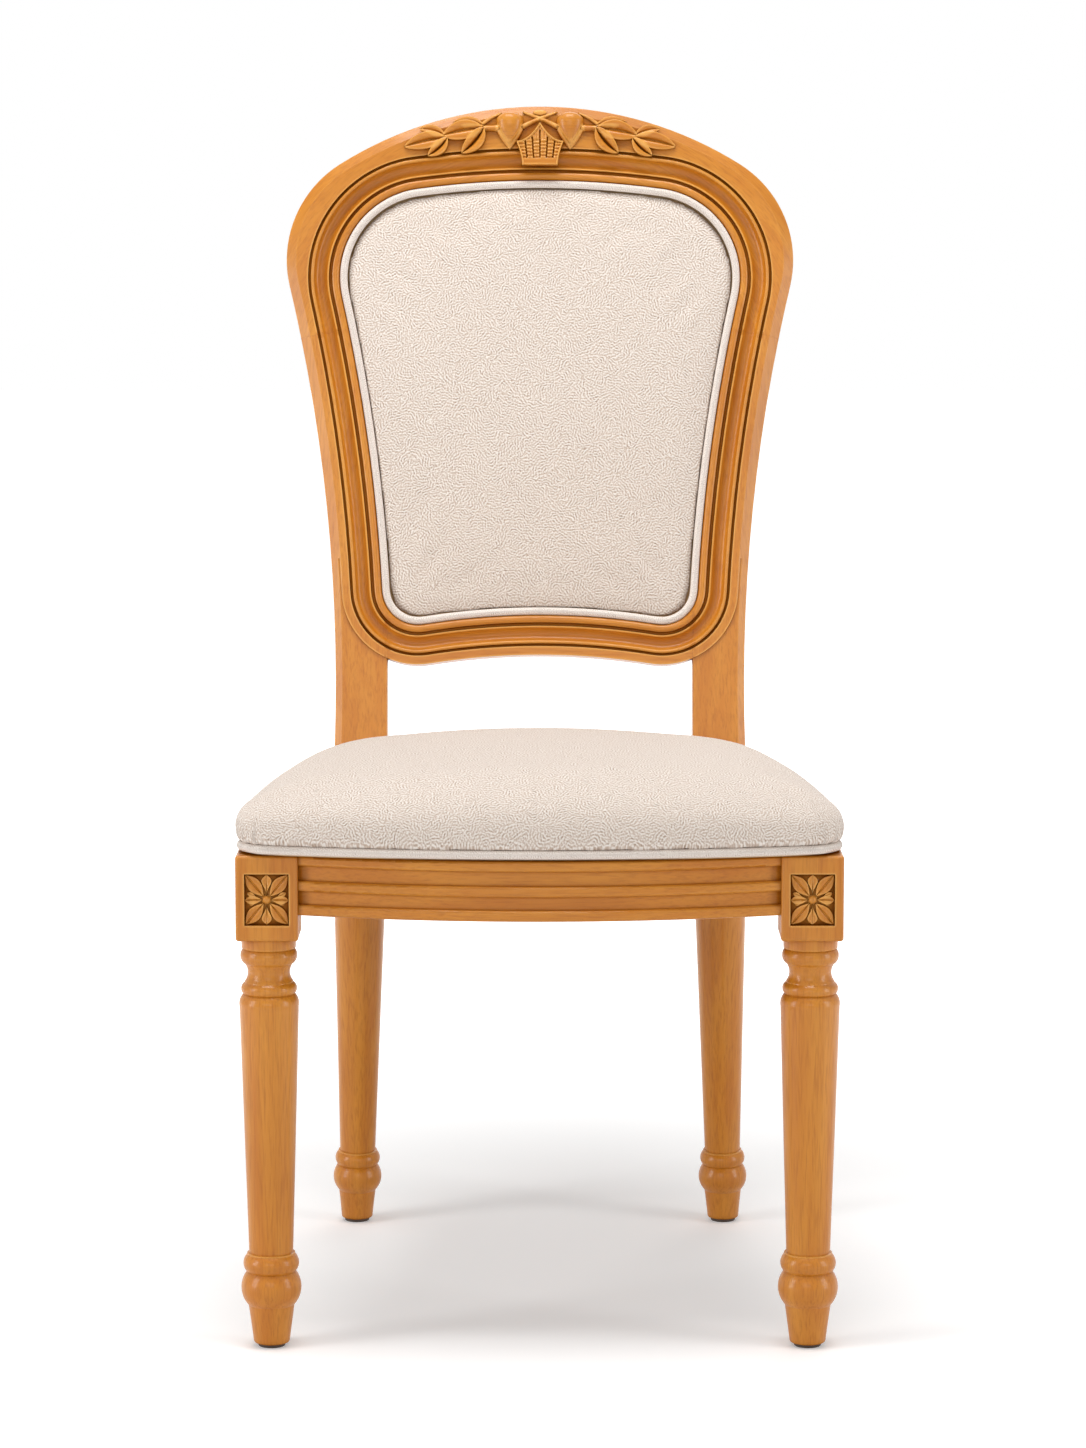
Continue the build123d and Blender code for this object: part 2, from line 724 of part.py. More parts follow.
with BuildPart() as rear_right_leg:
    # Thickening behind the stile, where it meets the block
    with BuildSketch(Plane.YZ.offset(stile_inner)):
        with BuildLine():
            Polyline(
                (wedge_low.Y, wedge_low.Z),
                (wedge_high.Y, wedge_high.Z),
                (rear_y, wedge_high.Z - (rear_y - wedge_high.Y) * knee_slope),
                (rear_y, wedge_low.Z),
                close=True,
            )
        make_face()
    extrude(amount=rear_half_span - stile_inner + stile_clear)
    with BuildSketch(back_plane):
        add(outline.sketch_local)
    extrude(amount=rear_block_depth * 2, both=True, mode=Mode.INTERSECT)
    with BuildSketch(Plane.XY.offset(block_bottom)):
        with Locations(((rear_half_span + stile_inner) / 2, rear_face_y)):
            Rectangle(
                rear_half_span - stile_inner,
                rear_block_depth,
                align=(Align.CENTER, Align.MIN),
            )
    extrude(amount=block_height)
    with BuildSketch(turning_plane):
        with BuildLine():
            column_base = foot_lines(rear_foot_width, rear_foot_height, -2 * glide_height)
            inside = leg_length + 2 * glide_height
            Polyline(
                column_base,
                (rear_column_radius, rear_taper_top),
                (rear_column_radius, inside),
                (0, inside),
                (0, -2 * glide_height),
            )
        make_face()
    revolve(axis=Axis(rear_foot, leg_line))
    split(bisect_by=Plane.XY.offset(glide_height), keep=Keep.TOP)
    fillet(rear_right_leg.edges().group_by(Axis.Z)[0], foot_round)
    add(right_stile.part)
    cut_dowel_holes(seat_dowel_places)
    cut_dowel_holes(back_dowel_places)
    cut_board_screw_holes()
rear_right_leg.part.label = "rear_right_leg"
export_step(rear_right_leg.part, "parts/rear_right_leg.step")

with BuildPart() as rear_left_leg:
    mirror(rear_right_leg.part, about=Plane.YZ)
rear_left_leg.part.label = "rear_left_leg"
export_step(rear_left_leg.part, "parts/rear_left_leg.step")

# Glides under the four feet
for end, foot_x, foot_y in (
    ("front", leg_half_span - block_side / 2, front_face_y + block_side / 2),
    ("rear", rear_foot.X, rear_foot.Y),
):
    for word, side in sides:
        with BuildPart() as glide:
            with BuildSketch(Plane(origin=(side * foot_x, foot_y, 0))):
                Circle(glide_radius)
            extrude(amount=glide_height)
            fillet(glide.edges().group_by(Axis.Z)[0], glide_round)
        glide.part.label = f"{end}_{word}_glide"
        export_step(glide.part, f"parts/{end}_{word}_glide.step")

# Carved basket at the middle of the crest, with a peaked top and flared corners
carving_plane = back_plane.offset(ring_face + glue_line)
with BuildPart() as crest_basket:
    with BuildSketch(carving_plane):
        with BuildLine():
            rim_end = (basket_half_top, basket_rim)
            ThreePointArc((0, basket_top), basket_hollow, rim_end)
            Polyline(rim_end, (basket_half_foot, basket_foot), (0, basket_foot))
            mirror(about=Plane.YZ)
        make_face()
    extrude(amount=basket_relief)
    fillet(crest_basket.faces().sort_by(Axis((0, 0, 0), normal))[-1].edges(), basket_round)
    for index in range(-2, 3):
        tilt = index * basket_fan
        slot_foot = basket_foot + basket_band
        slot_length = basket_slot_length - abs(index) * basket_slot_step
        slot_place = Location((index * basket_slot_pitch, slot_foot, basket_relief), (0, 0, tilt))
        slot_plane = Plane(carving_plane * slot_place)
        with BuildSketch(slot_plane):
            Rectangle(basket_slot_width, slot_length, align=(Align.CENTER, Align.MIN))
        extrude(amount=-basket_slot_depth, mode=Mode.SUBTRACT)
crest_basket.part.label = "crest_basket"
export_step(crest_basket.part, "parts/crest_basket.step")

# Carved garland: two fruits on crossed stems, and a spray of leaves on each side
with BuildPart() as crest_garland:
    for word, side in sides:
        fruit_plane = Plane(carving_plane * Location((side * fruit_u, fruit_v, -fruit_sunk)))
        with BuildSketch(fruit_plane):
            with BuildLine():
                ThreePointArc(fruit_top, fruit_shoulder, fruit_side)
                ThreePointArc(fruit_side, fruit_cheek, fruit_tip)
                Line(fruit_tip, fruit_top)
            make_face()
        revolve(axis=Axis(fruit_plane.origin, fruit_plane.y_dir))
        for start, end, radius in stems:
            start_point = carving_plane.from_local_coords(Vector(side * start[0], start[1], stem_level))
            end_point = carving_plane.from_local_coords(Vector(side * end[0], end[1], stem_level))
            run = end_point - start_point
            with BuildSketch(Plane(origin=start_point, z_dir=run)):
                Circle(radius)
            extrude(amount=run.length)
    split(bisect_by=carving_plane, keep=Keep.TOP)
    for word, side in sides:
        for base, tip, width in leaves:
            start = (side * base[0], base[1])
            leaf(carving_plane, start, (side * tip[0], tip[1]), width, leaf_rise * width)
    add(crest_basket.part, mode=Mode.SUBTRACT)
crest_garland.part.label = "crest_garland"
export_step(crest_garland.part, "parts/crest_garland.step")


def seat_plan(inset):
    """Plan of the seat: a bowed front, sides that close in, and a straight rear."""
    with BuildSketch() as plan:
        with BuildLine():
            left_corner = (-cushion_half_width, cushion_corner_y)
            right_corner = (cushion_half_width, cushion_corner_y)
            ThreePointArc(left_corner, (0, cushion_front), right_corner)
            Polyline(
                right_corner,
                (cushion_rear_half, cushion_rear),
                (-cushion_rear_half, cushion_rear),
                left_corner,
            )
        make_face()
        fillet(plan.vertices().group_by(Axis.Y)[0], cushion_corner)
        fillet(plan.vertices().group_by(Axis.Y)[-1], cushion_rear_corner)
        offset(amount=-inset)
    return plan.sketch


def stile_notches(gap):
    """Plan of the two rear cutouts, where the seat passes the rear legs."""
    with BuildSketch() as notches:
        for side in (-1, 1):
            with Locations((side * (stile_inner - gap), rear_face_y - gap)):
                Rectangle(past_chair, past_chair, align=(Align.MIN if side > 0 else Align.MAX, Align.MIN))
    return notches.sketch


# Seat board, foam, cover and welt
with BuildPart() as seat_board:
    with BuildSketch(Plane.XY.offset(rail_top)):
        add(seat_plan(board_inset))
        add(stile_notches(board_inset), mode=Mode.SUBTRACT)
    extrude(amount=seat_board_thickness)
    cut_screw_holes(seat_screw_places)
seat_board.part.label = "seat_board"
export_step(seat_board.part, "parts/seat_board.step")

foam_bottom = rail_top + seat_board_thickness
with BuildPart() as seat_foam:
    with BuildSketch(Plane.XY.offset(foam_bottom)):
        add(seat_plan(cover_thickness))
    extrude(amount=cushion_top - foam_bottom)
    with Locations((0, crown_middle_y, cushion_top - cover_thickness - crown_radius)):
        Sphere(crown_radius, mode=Mode.INTERSECT)
    fillet(seat_foam.faces().sort_by(Axis.Z)[-1].edges(), cushion_roll - cover_thickness)
    with BuildSketch(Plane.XY.offset(foam_bottom)):
        add(stile_notches(stile_clearance + cover_thickness))
    extrude(amount=cushion_top - foam_bottom, mode=Mode.SUBTRACT)
seat_foam.part.label = "seat_foam"
export_step(seat_foam.part, "parts/seat_foam.step")

with BuildPart() as seat_cover:
    with BuildSketch(Plane.XY.offset(seam_height)):
        add(seat_plan(0))
    extrude(amount=cushion_top - seam_height)
    with Locations((0, crown_middle_y, cushion_top - crown_radius)):
        Sphere(crown_radius, mode=Mode.INTERSECT)
    fillet(seat_cover.faces().sort_by(Axis.Z)[-1].edges(), cushion_roll)
    fillet(seat_cover.edges().group_by(Axis.Z)[0], cushion_draw_in)
    with BuildSketch(Plane.XY.offset(rail_top)):
        add(seat_plan(2 * seat_welt_radius + piece_gap))
    extrude(amount=seam_height - rail_top + cushion_draw_in)
    with BuildSketch(Plane.XY.offset(rail_top)):
        add(stile_notches(stile_clearance))
    extrude(amount=cushion_top - rail_top, mode=Mode.SUBTRACT)
    add(seat_foam.part, mode=Mode.SUBTRACT)
    with BuildSketch(Plane.XY.offset(rail_top)):
        add(seat_plan(board_inset))
        add(stile_notches(board_inset), mode=Mode.SUBTRACT)
    extrude(amount=seat_board_thickness, mode=Mode.SUBTRACT)
seat_cover.part.label = "seat_cover"
export_step(seat_cover.part, "parts/seat_cover.step")

# Welt along the bottom edge of the cushion, from one rear leg round to the other
with BuildSketch() as welt_plan:
    add(seat_plan(seat_welt_radius))
    with Locations((0, rear_face_y - stile_clearance)):
        Rectangle(past_chair, past_chair, align=(Align.CENTER, Align.MIN), mode=Mode.SUBTRACT)
welt_edges = welt_plan.sketch.face().outer_wire().edges()
welt_edges = welt_edges.filter_by(lambda edge: edge.center().Y < rear_face_y - 2 * stile_clearance)
welt_height = rail_top + seat_welt_radius
welt_path = Wire(welt_edges).moved(Location((0, 0, welt_height)))
with BuildPart() as seat_welt:
    with BuildSketch(Plane(origin=welt_path @ 0, z_dir=welt_path % 0)):
        Circle(seat_welt_radius)
    sweep(path=welt_path)
seat_welt.part.label = "seat_welt"
export_step(seat_welt.part, "parts/seat_welt.step")

# Dust cover under the seat board, inside the rails
with BuildPart() as seat_dust_cover:
    with BuildSketch(Plane.XY.offset(rail_top - dust_thickness)):
        with BuildLine():
            front_y = front_block_back + dust_inset
            rear_y = rear_face_y - dust_inset
            Polyline(
                (side_rail_x(front_y, side_rail_thickness + dust_inset), front_y),
                (side_rail_x(rear_y, side_rail_thickness + dust_inset), rear_y),
                (-side_rail_x(rear_y, side_rail_thickness + dust_inset), rear_y),
                (-side_rail_x(front_y, side_rail_thickness + dust_inset), front_y),
                close=True,
            )
        make_face()
    extrude(amount=dust_thickness)
    cut_screw_holes(seat_screw_places)
seat_dust_cover.part.label = "seat_dust_cover"
export_step(seat_dust_cover.part, "parts/seat_dust_cover.step")

# Padded back: board in the rebate, foam, front cover, welt and rear cover
with BuildPart() as back_board:
    with BuildSketch(back_plane.offset(-rebate_front)):
        add(opening_plan(rebate_width - piece_gap))
    extrude(amount=-back_board_thickness)
    cut_board_screw_holes()
back_board.part.label = "back_board"
export_step(back_board.part, "parts/back_board.step")

pad_inset = 2 * back_welt_radius + piece_gap
flange_depth = rebate_front - back_welt_radius * 2 - 1
crown_middle_v = (opening_top + opening_bottom) / 2
with BuildPart() as back_foam:
    with BuildSketch(back_plane.offset(-rebate_front)):
        add(opening_plan(-pad_inset - cover_thickness))
    extrude(amount=rebate_front + back_crown)
    foam_crown = back_crown - cover_thickness - back_crown_radius
    with Locations(back_plane * Location((0, crown_middle_v, foam_crown))):
        Sphere(back_crown_radius, mode=Mode.INTERSECT)
    fillet(back_foam.faces().sort_by(Axis((0, 0, 0), normal))[-1].edges(), pad_roll - cover_thickness)
back_foam.part.label = "back_foam"
export_step(back_foam.part, "parts/back_foam.step")

with BuildPart() as back_cover:
    with BuildSketch(back_plane.offset(-rebate_front)):
        add(opening_plan(-pad_inset))
    extrude(amount=rebate_front + back_crown)
    with Locations(back_plane * Location((0, crown_middle_v, back_crown - back_crown_radius))):
        Sphere(back_crown_radius, mode=Mode.INTERSECT)
    fillet(back_cover.faces().sort_by(Axis((0, 0, 0), normal))[-1].edges(), pad_roll)
    with BuildSketch(back_plane.offset(-rebate_front)):
        add(opening_plan(-piece_gap))
    extrude(amount=flange_depth)
    add(back_foam.part, mode=Mode.SUBTRACT)
back_cover.part.label = "back_cover"
export_step(back_cover.part, "parts/back_cover.step")

with BuildSketch(back_plane.offset(flange_depth - rebate_front + back_welt_radius)) as back_welt_plan:
    add(opening_plan(-back_welt_radius - piece_gap))
back_welt_path = back_welt_plan.sketch.face().outer_wire()
with BuildPart() as back_welt:
    with BuildSketch(Plane(origin=back_welt_path @ 0, z_dir=back_welt_path % 0)):
        Circle(back_welt_radius)
    sweep(path=back_welt_path)
back_welt.part.label = "back_welt"
export_step(back_welt.part, "parts/back_welt.step")

with BuildPart() as back_rear_cover:
    with BuildSketch(back_plane.offset(-rebate_front - back_board_thickness)):
        add(opening_plan(rebate_width - piece_gap))
    extrude(amount=-rear_cover_thickness)
    fillet(back_rear_cover.faces().sort_by(Axis((0, 0, 0), normal))[0].edges(), pad_roll)
back_rear_cover.part.label = "back_rear_cover"
export_step(back_rear_cover.part, "parts/back_rear_cover.step")
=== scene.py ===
import math

import bmesh
import bpy
from mathutils import Matrix, Vector, noise
from mathutils.bvhtree import BVHTree
from mathutils.kdtree import KDTree


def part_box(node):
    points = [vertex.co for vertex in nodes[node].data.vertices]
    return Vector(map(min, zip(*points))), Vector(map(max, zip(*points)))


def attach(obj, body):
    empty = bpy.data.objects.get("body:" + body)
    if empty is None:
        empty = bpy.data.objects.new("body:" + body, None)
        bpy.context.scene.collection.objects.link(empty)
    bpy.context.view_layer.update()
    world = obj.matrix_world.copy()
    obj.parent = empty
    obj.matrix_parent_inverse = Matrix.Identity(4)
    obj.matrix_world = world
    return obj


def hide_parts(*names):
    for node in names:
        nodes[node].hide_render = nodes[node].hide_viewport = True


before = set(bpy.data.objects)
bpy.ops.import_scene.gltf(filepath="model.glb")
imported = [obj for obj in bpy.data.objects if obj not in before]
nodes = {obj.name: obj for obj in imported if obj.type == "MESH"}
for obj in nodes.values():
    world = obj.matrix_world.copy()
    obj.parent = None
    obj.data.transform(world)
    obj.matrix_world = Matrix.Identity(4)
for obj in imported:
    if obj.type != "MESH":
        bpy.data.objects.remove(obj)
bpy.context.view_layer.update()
scene = bpy.context.scene
print("frame loaded,", len(nodes), "nodes")

# the back leans: u across, v up the slope from the level of the rail's top, w out of its face
backLean, backFaceY, railTop = math.radians(10), 0.150, 0.405
backFrame = Matrix((
    (1, 0, 0, 0),
    (0, math.sin(backLean), -math.cos(backLean), backFaceY),
    (0, math.cos(backLean), math.sin(backLean), railTop),
    (0, 0, 0, 1),
))
backInverse = backFrame.inverted()
seatFrame = Matrix.Identity(4)


def linear(hexColour):
    parts = [int(hexColour[i:i + 2], 16) / 255 for i in (1, 3, 5)]
    return [c / 12.92 if c <= 0.04045 else ((c + 0.055) / 1.055) ** 2.4 for c in parts] + [1.0]


def addNode(tree, kind, settings=None, inputs=None):
    made = tree.nodes.new(kind)
    for name, value in (settings or {}).items():
        setattr(made, name, value)
    for name, value in (inputs or {}).items():
        if isinstance(value, bpy.types.NodeSocket):
            tree.links.new(value, made.inputs[name])
        else:
            made.inputs[name].default_value = value
    return made


def calc(tree, operation, *values):
    return addNode(tree, "ShaderNodeMath", {"operation": operation}, dict(enumerate(values))).outputs[0]


def ranged(tree, value, low, high, start=0.0, end=1.0):
    return addNode(tree, "ShaderNodeMapRange", {}, {
        "Value": value, "From Min": low, "From Max": high, "To Min": start, "To Max": end}).outputs[0]


def noiseOver(tree, place, scale, detail, **others):
    return addNode(tree, "ShaderNodeTexNoise", {}, {
        "Vector": place, "Scale": scale, "Detail": detail, **others}).outputs[0]


def mixed(tree, share, first, second):
    return addNode(tree, "ShaderNodeMix", {"data_type": "RGBA"}, {0: share, 6: first, 7: second}).outputs[2]


def newMaterial(name):
    material = bpy.data.materials.new(name)
    material.use_nodes = True
    tree = material.node_tree
    shader = tree.nodes["Principled BSDF"]
    return material, tree, shader


def dress(tree, shader, colour, bump, rough):
    tree.links.new(colour, shader.inputs["Base Color"])
    tree.links.new(bump.outputs[0], shader.inputs["Normal"])
    shader.inputs["Roughness"].default_value = rough


def addObject(name, data):
    made = bpy.data.objects.new(name, data)
    scene.collection.objects.link(made)
    return made


def meshFrom(bm, name):
    mesh = bpy.data.meshes.new(name)
    bm.to_mesh(mesh)
    bm.free()
    return mesh


def smooth(mesh):
    for face in mesh.polygons:
        face.use_smooth = True


# wood

# stained beech under a satin lacquer: fine streaks along the grain, warm broad bands,
# brown glaze with painted shade in the hollows, and a painted highlight along the edges
beech = {
    "dark": "#A55C0E", "mid": "#C27414", "light": "#D28A28",
    # brown of the glaze and of the painted shade in the hollows
    "glazeAndShade": "#8A4A0E",
    # painted highlight along the edges
    "paintedEdgeHighlight": "#E6A850",
    "bandWidth": 0.014,
    "streakWidth": 0.0016,   # real pores are about 0.1 mm, drawn wider so that they show
    "cloudsPerMetre": 9.0,
    "stretch": 0.05,         # the figure is this much slower along the grain
    "archRadius": 0.25,
    "gloss": 0.30,
    "lacquerRough": 0.12,
    "glazeAndShadeReach": 0.009,     # glaze and painted shade gather this far from a wall
    "paintedEdgeReach": 0.0018,      # and the painted edge highlight reaches this far from an edge
    "jointNear": 0.0020, "jointFar": 0.0034,
    "edgeRound": 0.0008,
}
# where the pieces of the back meet, on both sides alike: direction across the joint and its distance
crestJoint = ((0.1997, 0.1702, 0.9650), 0.8457)
railJoint = ((1.0, 0.0, 0.0), 0.135)


def archRun(tree, place, archHeight):
    # the grain follows the arch: along is the way round its centre, across is the distance from it
    split = addNode(tree, "ShaderNodeSeparateXYZ", {}, {0: place})
    up = calc(tree, "SUBTRACT", split.outputs["Z"], archHeight)
    flat = addNode(tree, "ShaderNodeCombineXYZ", {}, {"X": split.outputs["X"], "Z": up})
    radius = addNode(tree, "ShaderNodeVectorMath", {"operation": "LENGTH"}, {0: flat.outputs[0]})
    angle = calc(tree, "ARCTAN2", split.outputs["X"], up)
    along = calc(tree, "MULTIPLY", angle, beech["archRadius"])
    return addNode(tree, "ShaderNodeCombineXYZ", {}, {
        "X": along, "Y": split.outputs["Y"], "Z": radius.outputs["Value"]}).outputs[0]


def paintedEdgeShare(tree, place, joints):
    # a painted highlight on convex edges, where the piece's own inside is close
    edge = addNode(tree, "ShaderNodeAmbientOcclusion", {"samples": 6, "inside": True, "only_local": True}, {
        "Distance": beech["paintedEdgeReach"]})
    paintedEdge = ranged(tree, edge.outputs["AO"], 0.98, 0.6, 0.0, 0.8)
    if not joints:
        return paintedEdge
    # the joints are glued flush, so no edge highlight is painted there
    split = addNode(tree, "ShaderNodeSeparateXYZ", {}, {0: place})
    folded = addNode(tree, "ShaderNodeCombineXYZ", {}, {
        "X": calc(tree, "ABSOLUTE", split.outputs["X"]), "Y": split.outputs["Y"], "Z": split.outputs["Z"]})
    for across, distance in joints:
        along = addNode(tree, "ShaderNodeVectorMath", {"operation": "DOT_PRODUCT"}, {
            0: folded.outputs[0], 1: across})
        gap = calc(tree, "ABSOLUTE", calc(tree, "SUBTRACT", along.outputs["Value"], distance))
        paintedEdge = calc(tree, "MULTIPLY", paintedEdge, ranged(tree, gap, beech["jointNear"], beech["jointFar"]))
    return paintedEdge


def stainedBeech(name, grainAxis, turn=0.0, archHeight=None, joints=()):
    material, tree, shader = newMaterial(name)
    place = addNode(tree, "ShaderNodeTexCoord").outputs["Object"]
    run = archRun(tree, place, archHeight) if archHeight else place
    squeeze = [1.0, 1.0, 1.0]
    squeeze["xyz".index(grainAxis)] = beech["stretch"]
    turned = addNode(tree, "ShaderNodeMapping", {}, {"Vector": run, "Rotation": (0, 0, turn)})
    grain = addNode(tree, "ShaderNodeMapping", {}, {"Vector": turned.outputs[0], "Scale": squeeze})
    bands = noiseOver(tree, grain.outputs[0], 1 / beech["bandWidth"], 3.0, Distortion=0.6)
    streaks = noiseOver(tree, grain.outputs[0], 1 / beech["streakWidth"], 2.0, Roughness=0.6)
    clouds = noiseOver(tree, place, beech["cloudsPerMetre"], 1.0)
    dark = linear(beech["dark"])
    colour = mixed(tree, ranged(tree, bands, 0.3, 0.7), linear(beech["mid"]), linear(beech["light"]))
    colour = mixed(tree, ranged(tree, streaks, 0.46, 0.74, 0.0, 0.55), colour, dark)
    colour = mixed(tree, ranged(tree, clouds, 0.35, 0.75, 0.0, 0.3), colour, dark)
    # painted highlight along the edges, kept off the joints
    colour = mixed(tree, paintedEdgeShare(tree, place, joints), colour, linear(beech["paintedEdgeHighlight"]))
    # brown glaze and painted shade, darker the more a place is hemmed in
    hollow = addNode(tree, "ShaderNodeAmbientOcclusion", {"samples": 8}, {
        "Distance": beech["glazeAndShadeReach"]}).outputs["AO"]
    colour = mixed(tree, ranged(tree, hollow, 0.1, 0.88, 0.15), linear(beech["glazeAndShade"]), colour)
    eased = addNode(tree, "ShaderNodeBevel", {"samples": 4}, {"Radius": beech["edgeRound"]})
    bump = addNode(tree, "ShaderNodeBump", {}, {
        "Strength": 0.10, "Distance": 0.0006, "Height": streaks, "Normal": eased.outputs[0]})
    tree.links.new(colour, shader.inputs["Base Color"])
    tree.links.new(bump.outputs[0], shader.inputs["Normal"])
    tree.links.new(ranged(tree, streaks, 0.3, 0.7, 0.38, 0.48), shader.inputs["Roughness"])
    # glaze in the hollows is dull, and the lacquer's gloss there is dimmed, a painted shade on the
    # reflection
    gloss = ranged(tree, hollow, 0.35, 0.85, 0.0, beech["gloss"])
    tree.links.new(gloss, shader.inputs["Specular IOR Level"])
    tree.links.new(gloss, shader.inputs["Coat Weight"])
    shader.inputs["Coat Roughness"].default_value = beech["lacquerRough"]
    return material


archCentre, sideRailTurn = 0.74, math.radians(9.5)
beechUpright = stainedBeech("stainedBeechUpright", "z", joints=(crestJoint, railJoint))
beechAcross = stainedBeech("stainedBeechAcross", "x")
beechArch = stainedBeech("stainedBeechArch", "x", archHeight=archCentre, joints=(crestJoint,))
beechLowRail = stainedBeech("stainedBeechLowRail", "x", joints=(railJoint,))
beechLeftRail = stainedBeech("stainedBeechLeftRail", "y", -sideRailTurn)
beechRightRail = stainedBeech("stainedBeechRightRail", "y", sideRailTurn)

# planed beech with no finish, dull and pale: corner blocks and dowels
# rotary-cut plywood: broad pale figure
bareWoods = {
    "planedBeech": {"dark": "#C69A6B", "light": "#DDB98C", "width": 0.004, "stretch": 0.08, "rough": 0.72},
    "plywoodFace": {"dark": "#C9A878", "light": "#E2C79C", "width": 0.022, "stretch": 0.12, "rough": 0.7},
}


def bareWood(name):
    look = bareWoods[name]
    material, tree, shader = newMaterial(name)
    place = addNode(tree, "ShaderNodeTexCoord").outputs["Object"]
    grain = addNode(tree, "ShaderNodeMapping", {}, {"Vector": place, "Scale": (look["stretch"], 1, 1)})
    figure = noiseOver(tree, grain.outputs[0], 1 / look["width"], 4.0, Distortion=0.8)
    colour = mixed(tree, ranged(tree, figure, 0.35, 0.65), linear(look["dark"]), linear(look["light"]))
    bump = addNode(tree, "ShaderNodeBump", {}, {"Strength": 0.15, "Distance": 0.0004, "Height": figure})
    dress(tree, shader, colour, bump, look["rough"])
    return material


planedBeech = bareWood("planedBeech")
plywoodFace = bareWood("plywoodFace")

# small hardware and lining
plainLooks = {
    "zincPlatedSteel": {"dark": "#8D9094", "light": "#B4B7BA", "grit": 0.0009, "rough": 0.34, "metal": 1},
    "mouldedNylonGlide": {"dark": "#3A2C20", "light": "#4A392B", "grit": 0.0007, "rough": 0.5, "metal": 0},
    "spunbondLining": {"dark": "#2B2A29", "light": "#3B3937", "grit": 0.0012, "rough": 0.9, "metal": 0},
}


def plainMaterial(name):
    look = plainLooks[name]
    material, tree, shader = newMaterial(name)
    place = addNode(tree, "ShaderNodeTexCoord").outputs["Object"]
    speck = noiseOver(tree, place, 1 / look["grit"], 3.0)
    colour = mixed(tree, speck, linear(look["dark"]), linear(look["light"]))
    bump = addNode(tree, "ShaderNodeBump", {}, {"Strength": 0.2, "Distance": 0.0003, "Height": speck})
    dress(tree, shader, colour, bump, look["rough"])
    shader.inputs["Metallic"].default_value = look["metal"]
    return material


zincSteel = plainMaterial("zincPlatedSteel")
nylonGlide = plainMaterial("mouldedNylonGlide")
spunbond = plainMaterial("spunbondLining")

# crepe-woven linen union: pinkish beige, matt, covered all over with short fine ridges that
# change direction from place to place, each with a painted shade in the hollow beside it
linen = {
    "ridge": 0.0024,         # from one ridge to the next
    "patch": 0.0060,         # ridges keep one direction about this far
    "turnsPerMetre": 45.0,
    "yarn": 0.0013,          # real yarn is about 0.5 mm, drawn coarser so that it shows
    "yarnShare": 0.7,
}
linenLooks = {
    "wovenLinenUnion": {"light": "#EFE7DF", "mid": "#CAB7A8", "hollow": "#A48D7B", "bump": 0.9},
    # the piping is the pad's linen drawn lighter, a painted highlight on its round top
    "wovenLinenPipingPaintedHighlight": {"light": "#F1E8E0", "mid": "#DDD0C5", "hollow": "#BBAB9D", "bump": 0.6},
}


def linenCloth(name):
    look = linenLooks[name]
    material, tree, shader = newMaterial(name)
    run = addNode(tree, "ShaderNodeUVMap", {"uv_map": "clothRun"}).outputs[0]
    flow = noiseOver(tree, run, linen["turnsPerMetre"], 1.0)
    ridges = addNode(tree, "ShaderNodeTexGabor", {"gabor_type": "2D"}, {
        "Vector": run, "Scale": 1 / linen["patch"], "Frequency": linen["patch"] / linen["ridge"],
        "Anisotropy": 0.45, "Orientation": ranged(tree, flow, 0.3, 0.7, 0.0, math.pi)})
    yarns = noiseOver(tree, run, 1 / linen["yarn"], 1.0)
    height = calc(tree, "MULTIPLY_ADD", yarns, linen["yarnShare"], ridges.outputs["Value"])
    colour = mixed(tree, ranged(tree, height, 0.76, 0.98), linear(look["mid"]), linear(look["light"]))
    # painted shade in the low places of the weave
    colour = mixed(tree, ranged(tree, height, 0.72, 0.5, 0.0, 0.85), colour, linear(look["hollow"]))
    bump = addNode(tree, "ShaderNodeBump", {}, {
        "Strength": look["bump"], "Distance": 0.0006, "Height": height})
    dress(tree, shader, colour, bump, 0.9)
    shader.inputs["Specular IOR Level"].default_value = 0.25
    shader.inputs["Sheen Weight"].default_value = 0.12
    shader.inputs["Sheen Roughness"].default_value = 0.5
    return material


linenPad = linenCloth("wovenLinenUnion")
linenWeltPaintedHighlight = linenCloth("wovenLinenPipingPaintedHighlight")
print("materials made")

# finish of the CAD's own pieces; the grain runs along each piece of the frame
finishOf = {
    beechUpright: ("front_left_leg", "front_right_leg", "rear_left_leg", "rear_right_leg"),
    beechArch: ("crest_rail",),
    beechLowRail: ("lower_back_rail",),
    beechAcross: ("front_seat_rail", "rear_seat_rail"),
    beechLeftRail: ("left_seat_rail",),
    beechRightRail: ("right_seat_rail",),
    planedBeech: tuple(n for n in nodes if n.endswith("corner_block") or n.endswith("dowels")),
    plywoodFace: ("seat_board", "back_board"),
    zincSteel: tuple(n for n in nodes if n.endswith("screws")),
    nylonGlide: tuple(n for n in nodes if n.endswith("glide")),
}
for material, names in finishOf.items():
    for name in names:
        mesh = nodes[name].data
        mesh.materials.clear()
        mesh.materials.append(material)
print("frame pieces finished")


# shared makers

def newPiece(name, bm, material, slotName, *replaced):
    bmesh.ops.remove_doubles(bm, verts=bm.verts, dist=1e-6)
    bmesh.ops.recalc_face_normals(bm, faces=bm.faces)
    mesh = meshFrom(bm, name)
    mesh.materials.append(material)
    smooth(mesh)
    return declare(addObject(name, mesh), slotName, *replaced)


def declare(piece, slotName, *replaced):
    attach(piece, "root")
    if replaced:
        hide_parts(*replaced)
    return piece


